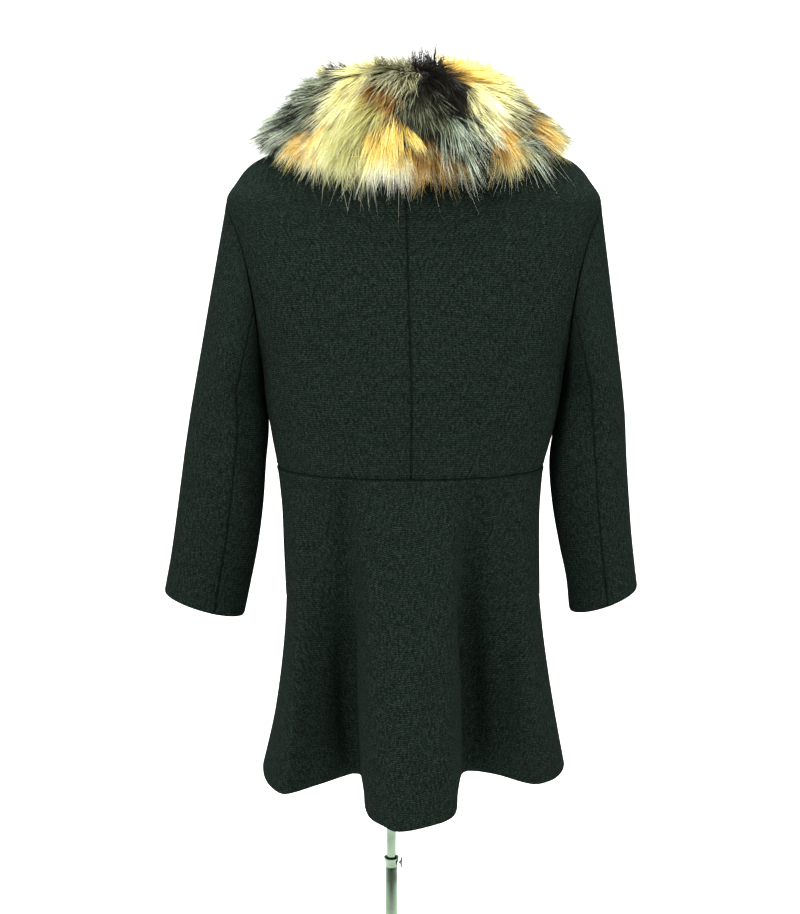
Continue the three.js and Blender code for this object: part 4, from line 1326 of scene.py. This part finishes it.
def bodice_roof(x, y):
    """The height of the bodice's shoulders over a place, or a low height beside them."""
    roof = np.full(x.shape, ROOF_FOOT)
    for z in np.linspace(ROOF_FOOT, NECK_Z, ROOF_STEPS):
        half = float(read_table(BODICE, HALF, z))
        depth = np.where(y < 0, read_table(BODICE, BACK, z), read_table(BODICE, FRONT, z))
        inside = (np.abs(x / half)) ** SQUARENESS + (np.abs(y / depth)) ** SQUARENESS <= 1
        roof = np.where(inside, z, roof)
    return roof


def laid_on_bodice(points):
    """The points, raised where they would be in the coat's shoulders."""
    floor = bodice_roof(points[..., 0], points[..., 1]) + PELT_CLEARANCE
    points[..., 2] = np.maximum(points[..., 2], floor)
    return points


def skin_point(angle, place):
    """A point of the pelt's skin, in the coat's millimetres, and the way out through the hair."""
    angle, place = np.broadcast_arrays(np.asarray(angle, float), np.asarray(place, float))
    out, z, slope_out, slope_z = collar_section(angle, place)
    depth = read_table(PELT_DEPTH, 1, place)
    outward = collar_outward(angle)
    point = outward * (out - slope_out * depth)[..., None]
    point[..., 2] = z - slope_z * depth
    way = outward * slope_out[..., None]
    way[..., 2] = slope_z
    point[..., 0] -= COLLAR_SLOUCH * smooth((point[..., 2] - SLOUCH_FROM) / SLOUCH_OVER)
    return laid_on_bodice(point), way


def wavy(angle, place, seed):
    """Slow uneven waves over the pelts, between -1 and 1."""
    dice = np.random.default_rng(seed)
    total, terms = 0, 5
    for _ in range(terms):
        turns, steps, start = dice.integers(2, 15), dice.uniform(0.5, 2.2), dice.uniform(0, 6.28)
        total = total + np.sin(turns * angle + steps * place + start)
    return total / terms


def pelt_at(angle, place):
    """Which pelt a place belongs to, with borders that wander a little."""
    degrees = np.degrees(angle) + BORDER_ROUND * wavy(angle, place * 2.2, ROUND_SEED)
    along = place + BORDER_ALONG * wavy(angle * 2, place, ALONG_SEED)
    best, nearest = np.zeros(np.shape(angle), int), np.full(np.shape(angle), np.inf)
    for i, (pelt_degrees, pelt_place, *_) in enumerate(PELTS):
        apart = (degrees - pelt_degrees + 180) % 360 - 180
        distance = (apart * PELT_GIRTH) ** 2 + ((along - pelt_place) * PELT_STEP) ** 2
        best = np.where(distance < nearest, i, best)
        nearest = np.minimum(distance, nearest)
    return best


def pelt_values(pelts, column):
    return np.array([pelt[column] for pelt in PELTS], float)[pelts]


def pelt_tones(pelts, which):
    return np.array([FUR_TONES[pelt[TONE]][which] for pelt in PELTS])[pelts]


def paint_points(mesh, name, kind, values):
    attribute = mesh.attributes.new(name, kind, "POINT")
    slot_name = {"FLOAT": "value", "FLOAT_VECTOR": "vector", "FLOAT_COLOR": "color"}[kind]
    attribute.data.foreach_set(slot_name, np.asarray(values, np.float32).ravel())


def skin_finish():
    """Short dense down in the colour of the pelt's roots, with near-black blotches painted as shade in
    the depth between.
    """
    skin = Finish("pelt_skin")
    down = skin.noise(skin.mapped(skin.object_place(), (420, 420, 90)), 1.0, 4)
    skin.set(
        # Painted shade: near-black blotches mixed into the root colour stand in for the shadow deep in
        # the down.
        Base_Color=skin.mix(down, skin.painted("pelt"), (0.02, 0.017, 0.014, 1)),
        Roughness=0.95,
        Normal=skin.bump(down, 0.002),
    )
    return skin


def pelt_skin():
    """A closed body: the section's outline round the neck, and its underside on the bodice."""
    end = math.pi - math.radians(COLLAR_FRONT_GAP)
    angle = np.linspace(-end, end, SKIN_COLUMNS)[:, None]
    place = np.linspace(0, SECTION_END, SKIN_ROWS)
    outer, _ = skin_point(angle, place[None, :])
    share = np.linspace(0, 1, UNDER_ROWS)[1:-1]
    back = share[None, :, None]
    under = laid_on_bodice(outer[:, -1:] * (1 - back) + outer[:, :1] * back)
    loop = np.concatenate([outer, under], 1)
    columns, around = loop.shape[:2]
    points = (loop.reshape(-1, 3) + [COAT_X, 0, 0]) * MM
    piece = new_object("collar_pelts", points, capped_faces(columns, around), [skin_finish()])
    all_angles = np.repeat(angle, around, 1).ravel()
    under_places = np.linspace(SECTION_END, 0, UNDER_ROWS)[1:-1]
    all_places = np.tile(np.append(place, under_places), (columns, 1)).ravel()
    tones = pelt_tones(pelt_at(all_angles, all_places), ROOT)
    paint_points(piece.data, "pelt", "FLOAT_COLOR", tones)
    return piece


fit(pelt_skin(), "worn_form", "fur_collar")

# The fur's hair, combed outwards and down. It gathers in pointed locks, and longer pale guard
# hairs stand out of it along the lower edge and in a few wisps on top.
HAIRS = 50000
GUARD_HAIRS = 4000
HAIR_SEED = 7
COMB_SEED, SHADE_SEED = 21, 31
COMB_STEP = 0.12  # the step along the section that tells which way is down
COMB_WAVE = 9  # degrees
ROOT_ANGLES = np.linspace(-math.pi + 0.06, math.pi - 0.06, 361)
ROOT_PLACES = np.linspace(0.3, 8.0, 78)
INSIDE_COLLAR, INSIDE_SHARE = 2.2, 0.5  # the hair is sparser on the collar's inner side
GUARD_AT_FOOT = 0.72
GUARD_FOOT, GUARD_TOP = (6.2, 7.9), (2.6, 4.2)
GUARD_LONGER = (1.1, 1.9)
LOCK_SIZE = 22  # hairs
LOCK_PULL, GUARD_PULL, LOCK_REACH = 0.7, 0.2, 8.0
LOCK_LENGTHS = (0.72, 1.24)
LOCK_TURN, LOCK_LIFT = 13, 0.2  # spreads of the comb's turn and of the lift from lock to lock
HAIR_TURN, HAIR_LIFT = 9, 0.12  # and from hair to hair
HAIR_LENGTHS = (0.7, 1.12)
LEAST_LIFT, MOST_LIFT = 0.12, 3
GIRTHS, GUARD_GIRTH = (0.8, 1.25), 0.5
SHADE_BY_HAIR, SHADE_BY_PATCH = 0.16, 0.14
SHADE_RANGE = (0.5, 1.6)
DARK_BY_HAIR, DARK_BY_LOCK = 0.45, 0.55
SWEEP_OVER = 0.2  # share of its length that a hair's tip bends on along the comb
ROOT_TO_SIGHT = 0.4  # a hair shows this much farther along the section than where it is rooted
FAN_REACH = 30.0  # the hair of each pelt spreads out from its middle
MOUND = 7.0  # and its middle stands this much higher
HAIR_SECTIONS = [(-180, -78), (-78, -12), (-12, 28), (28, 92), (92, 180)]
# Curves along the section or, with degrees, round the neck: places and the values there
MOUND_ALONG = ([3.0, 4.4], [0, MOUND])
FAN_ALONG = ([3.3, 4.6], [0, 0.6])
CREST_ALONG = ([0, 2, 2.6, 3.4, 4.2], [0, 0, 0.9, 0.7, 0])
CREST_ROUND = ([-90, -40, -10, 5, 180], [0.1, 0.05, 0.35, 1, 1])
LENGTH_ALONG = ([0, 2, 3, 5.5, 6.2, 7, 8], [0.6, 0.75, 0.9, 1.0, 0.85, 0.65, 0.5])
FALL_ALONG = ([0, 2, 3, 5, 8], [0.0, 0.0, 0.06, 0.24, 0.26])
# The three tones: how dark a dark hair's are, and how much of the guard hairs' pale they take
TONE_NAMES = ("root_tone_and_shade", "shaft_tone", "tip_tone")
DARK_TONES = (1.0, 0.6, 0.75)
GUARD_TONES = (0.0, 0.55, 0.9)
GUARD_PALE = np.array([0.82, 0.86, 0.69, 1.0])
BLACK_PELT, PALE_ON_BLACK = 0.05, 0.25  # guard hairs stay darker where the shaft is this dark
# Half the thickness of a hair and the size of its waves in metres, and shares of bend and gather
TREE_INPUTS = {"Girth": 0.00044, "Bend": 1.0, "Gather": 1.0, "Wave": 0.0045, "Seed": 3.0}


def hair_finish():
    hair = Finish("fox_hair")
    along = hair.painted("along", "Fac")
    root, shaft, tip = (hair.painted(name) for name in TONE_NAMES)
    # Painted shade: the lower part of each hair takes the root tone, darker than the underfur alone,
    # for the shadow deep in the fur.
    lower = hair.mix(along.between(0.05, 0.45), root, shaft)
    whole = hair.mix(along.between(0.5, 0.95), lower, tip)
    hair.set(Base_Color=whole, Roughness=0.6, Specular_IOR_Level=0.16)
    return hair


def hair_tree(finish):
    """A thin three-sided hair on every root, bent by gravity and drawn into its lock."""
    tree = bpy.data.node_groups.new("hair_on_roots", "GeometryNodeTree")
    tree.interface.new_socket("Geometry", in_out="OUTPUT", socket_type="NodeSocketGeometry")
    tree.interface.new_socket("Geometry", in_out="INPUT", socket_type="NodeSocketGeometry")
    inputs = {}
    for name, value in TREE_INPUTS.items():
        socket = tree.interface.new_socket(name, in_out="INPUT", socket_type="NodeSocketFloat")
        socket.default_value = value
        inputs[socket.identifier] = value

    def node(kind, settings=None, inputs=None):
        new = tree.nodes.new(kind)
        for key, value in (settings or {}).items():
            setattr(new, key, value)
        for key, value in (inputs or {}).items():
            if isinstance(value, bpy.types.NodeSocket):
                tree.links.new(value, new.inputs[key])
            else:
                new.inputs[key].default_value = value
        return new

    def named(name, kind):
        found = node("GeometryNodeInputNamedAttribute", {"data_type": kind}, {"Name": name})
        return found.outputs["Attribute"]

    def maths(operation, first, second):
        return node("ShaderNodeMath", {"operation": operation}, {0: first, 1: second}).outputs[0]

    def scaled(vector, by):
        settings, factors = {"operation": "SCALE"}, {0: vector, "Scale": by}
        return node("ShaderNodeVectorMath", settings, factors).outputs[0]

    def added(first, second):
        return node("ShaderNodeVectorMath", {"operation": "ADD"}, {0: first, 1: second}).outputs[0]

    def growing(vector, power, input_name):
        """A vector that takes hold towards the hair's tip, times one of the tree's inputs."""
        hold = maths("POWER", along, power) if power != 1 else along
        return scaled(vector, maths("MULTIPLY", hold, given.outputs[input_name]))

    given = node("NodeGroupInput")
    cone = node(
        "GeometryNodeMeshCone",
        {"fill_type": "NGON"},
        {"Vertices": 3, "Side Segments": 2, "Fill Segments": 1, "Radius Top": 0.0,
         "Radius Bottom": 1.0, "Depth": 1.0},
    )
    place = node("GeometryNodeInputPosition").outputs[0]
    height = node("ShaderNodeSeparateXYZ", None, {0: place}).outputs[2]
    marked = node(
        "GeometryNodeStoreNamedAttribute",
        {"data_type": "FLOAT", "domain": "POINT"},
        {"Geometry": cone.outputs["Mesh"], "Name": "along", "Value": height},
    )
    aimed = node(
        "FunctionNodeAlignRotationToVector", {"axis": "Z"}, {"Vector": named("aim", "FLOAT_VECTOR")}
    )
    girth = maths("MULTIPLY", named("girth", "FLOAT"), given.outputs["Girth"])
    size = node("ShaderNodeCombineXYZ", None, {0: girth, 1: girth, 2: named("length", "FLOAT")})
    planted = node(
        "GeometryNodeInstanceOnPoints",
        None,
        {"Points": given.outputs["Geometry"], "Instance": marked.outputs[0],
         "Rotation": aimed.outputs[0], "Scale": size.outputs[0]},
    )
    real = node("GeometryNodeRealizeInstances", None, {"Geometry": planted.outputs[0]})
    along = named("along", "FLOAT")
    bent = growing(named("bend", "FLOAT_VECTOR"), 2.0, "Bend")
    gathered = growing(named("lock", "FLOAT_VECTOR"), 1.3, "Gather")
    ripple = node(
        "ShaderNodeTexNoise",
        {"noise_dimensions": "4D"},
        {"Vector": place, "W": given.outputs["Seed"], "Scale": 70.0, "Detail": 1.0},
    )
    centred = added(ripple.outputs["Color"], (-0.5, -0.5, -0.5))
    waved = growing(centred, 1, "Wave")
    moved = node(
        "GeometryNodeSetPosition",
        None,
        {"Geometry": real.outputs[0], "Offset": added(added(bent, gathered), waved)},
    )
    covered = node(
        "GeometryNodeSetMaterial", None, {"Geometry": moved.outputs[0], "Material": finish.material}
    )
    node("NodeGroupOutput", None, {"Geometry": covered.outputs[0]})
    return tree, inputs


def hair_roots(dice):
    """Roots spread evenly over the skin: their angle, place along the section, and kind."""
    points, _ = skin_point(ROOT_ANGLES[:, None], ROOT_PLACES[None, :])
    steps_round = np.linalg.norm(np.diff(points, axis=0), axis=-1)[:, :-1]
    steps_along = np.linalg.norm(np.diff(points, axis=1), axis=-1)[:-1]
    sparser = np.where(ROOT_PLACES[:-1] < INSIDE_COLLAR, INSIDE_SHARE, 1.0)[None, :]
    weight = (steps_round * steps_along) * sparser
    weight = weight / weight.sum()
    cells = dice.choice(weight.size, size=HAIRS, p=weight.ravel())
    row, column = np.unravel_index(cells, weight.shape)
    angle = ROOT_ANGLES[row] + dice.random(HAIRS) * (ROOT_ANGLES[1] - ROOT_ANGLES[0])
    place = ROOT_PLACES[column] + dice.random(HAIRS) * (ROOT_PLACES[1] - ROOT_PLACES[0])
    guard_angle = dice.uniform(ROOT_ANGLES[0], ROOT_ANGLES[-1], GUARD_HAIRS)
    at_foot = dice.random(GUARD_HAIRS) < GUARD_AT_FOOT
    foot_place = dice.uniform(*GUARD_FOOT, GUARD_HAIRS)
    top_place = dice.uniform(*GUARD_TOP, GUARD_HAIRS)
    guard_place = np.where(at_foot, foot_place, top_place)
    guard = np.concatenate([np.zeros(HAIRS, bool), np.ones(GUARD_HAIRS, bool)])
    return np.append(angle, guard_angle), np.append(place, guard_place), guard


def nearest_lock(points, dice):
    """From each root to the middle of its lock, and the lock's number."""
    centres = points[dice.choice(len(points), len(points) // LOCK_SIZE, replace=False)]
    tree = KDTree(len(centres))
    for i, centre in enumerate(centres):
        tree.insert(centre, i)
    tree.balance()
    found = np.array([tree.find(point)[1] for point in points])
    return centres[found] - points, found


def mounded(root, way_out, place, pelts):
    """The roots, raised towards the middle of their pelt, and the way out of that middle."""
    seen = pelt_values(pelts, 1) - ROOT_TO_SIGHT
    middles, _ = skin_point(np.radians(pelt_values(pelts, 0)), seen)
    spread = (root - middles) / FAN_REACH
    from_middle = np.linalg.norm(spread, axis=1)
    mound = np.interp(place, *MOUND_ALONG) * (1 - smooth(from_middle))
    fan = np.interp(place, *FAN_ALONG) / np.maximum(1, from_middle)
    return root + way_out * mound[:, None], spread * fan[:, None]


def hair_tones(pelts, guard, dark, shade):
    """The colour of each hair at its root, along its length and at its tip."""
    black = pelt_tones(pelts, SHAFT)[:, 0] < BLACK_PELT
    tones = {}
    for which, name in enumerate(TONE_NAMES):
        darker = pelt_tones(pelts, ROOT) * DARK_TONES[which]
        tone = np.where(dark[:, None], darker, pelt_tones(pelts, which)) * shade[:, None]
        paled = np.where(guard, GUARD_TONES[which], 0.0) * np.where(black, PALE_ON_BLACK, 1.0)
        tone = tone * (1 - paled[:, None]) + GUARD_PALE * paled[:, None]
        tone[:, 3] = 1
        tones[name] = tone
    return tones


def comb_hair():
    """Every hair's root, direction, length, bend, pull into its lock, girth and tones."""
    dice = np.random.default_rng(HAIR_SEED)
    angle, place, guard = hair_roots(dice)
    count = len(angle)
    root, way_out = skin_point(angle, place)
    ahead, _ = skin_point(angle, np.clip(place + COMB_STEP, 0, SECTION_END))
    behind, _ = skin_point(angle, np.clip(place - COMB_STEP, 0, SECTION_END))
    down = unit(ahead - behind)
    round_neck = unit(np.cross(way_out, down))
    pelts = pelt_at(angle, np.clip(place + ROOT_TO_SIGHT, 0, SECTION_END))
    root, spread = mounded(root, way_out, place, pelts)

    to_lock, lock_of = nearest_lock(root, dice)
    locks = lock_of.max() + 1
    lock_dice = np.random.default_rng(HAIR_SEED + 1)
    lock_turn = lock_dice.normal(0, LOCK_TURN, locks)[lock_of]
    lock_lift = lock_dice.normal(0, LOCK_LIFT, locks)[lock_of]
    lock_length = lock_dice.uniform(*LOCK_LENGTHS, locks)[lock_of]
    lock_dark = lock_dice.random(locks)[lock_of]

    waves = COMB_WAVE * wavy(angle * 3, place * 2, COMB_SEED)
    turn = pelt_values(pelts, COMB) + waves + lock_turn
    turn = np.radians(turn + dice.normal(0, HAIR_TURN, count))
    combed = unit(down * np.cos(turn)[:, None] + round_neck * np.sin(turn)[:, None] + spread)
    lift = pelt_values(pelts, LIFT) + lock_lift + dice.normal(0, HAIR_LIFT, count)
    crest = np.interp(place, *CREST_ALONG) * np.interp(np.degrees(angle), *CREST_ROUND)
    aim = unit(combed + way_out * np.clip(lift + crest, LEAST_LIFT, MOST_LIFT)[:, None])

    length = pelt_values(pelts, LENGTH) * dice.uniform(*HAIR_LENGTHS, count)
    length *= np.interp(place, *LENGTH_ALONG) * lock_length
    length = np.where(guard, length * dice.uniform(*GUARD_LONGER, count), length)
    bend = combed * (length * SWEEP_OVER)[:, None]
    bend[:, 2] -= length * np.interp(place, *FALL_ALONG)
    pull = np.minimum(np.linalg.norm(to_lock, axis=1), LOCK_REACH)
    pull *= np.where(guard, GUARD_PULL, LOCK_PULL)

    patches = SHADE_BY_PATCH * wavy(angle * 9, place * 5, SHADE_SEED)
    shade = np.clip(1 + dice.normal(0, SHADE_BY_HAIR, count) + patches, *SHADE_RANGE)
    chance = DARK_BY_HAIR * dice.random(count) + DARK_BY_LOCK * lock_dark
    dark = (chance < pelt_tones(pelts, DARK_SHARE)) & ~guard
    return {
        "place": (root + [COAT_X, 0, 0]) * MM,
        "aim": aim,
        "length": length * MM,
        "bend": bend * MM,
        "lock": unit(to_lock) * pull[:, None] * MM,
        "girth": np.where(guard, GUARD_GIRTH, 1.0) * dice.uniform(*GIRTHS, count),
        "degrees": np.degrees(angle),
        **hair_tones(pelts, guard, dark, shade),
    }


def planted_hair(name, hairs, chosen, tree, inputs):
    """One stretch of the fur, grown from its roots and kept as a plain mesh."""
    mesh = bpy.data.meshes.new(name)
    mesh.from_pydata(hairs["place"][chosen].tolist(), [], [])
    guides = {"aim": "FLOAT_VECTOR", "bend": "FLOAT_VECTOR", "lock": "FLOAT_VECTOR"}
    guides |= {"length": "FLOAT", "girth": "FLOAT"}
    for key, kind in {**guides, **dict.fromkeys(TONE_NAMES, "FLOAT_COLOR")}.items():
        paint_points(mesh, key, kind, hairs[key][chosen])
    piece = in_scene(name, mesh)
    grow = piece.modifiers.new("grow", "NODES")
    grow.node_group = tree
    for identifier, value in inputs.items():
        grow[identifier] = value
    grown = piece.evaluated_get(bpy.context.evaluated_depsgraph_get())
    hair_mesh = bpy.data.meshes.new_from_object(grown)
    piece.modifiers.clear()
    piece.data = hair_mesh
    for key in guides:
        if key in hair_mesh.attributes:
            hair_mesh.attributes.remove(hair_mesh.attributes[key])
    return piece


all_hair = comb_hair()
hair_nodes, hair_inputs = hair_tree(hair_finish())
for number, (start, end) in enumerate(HAIR_SECTIONS, 1):
    chosen = (all_hair["degrees"] >= start) & (all_hair["degrees"] < end)
    tuft = planted_hair(f"fur_hair_{number}", all_hair, chosen, hair_nodes, hair_inputs)
    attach(tuft, "worn_form")
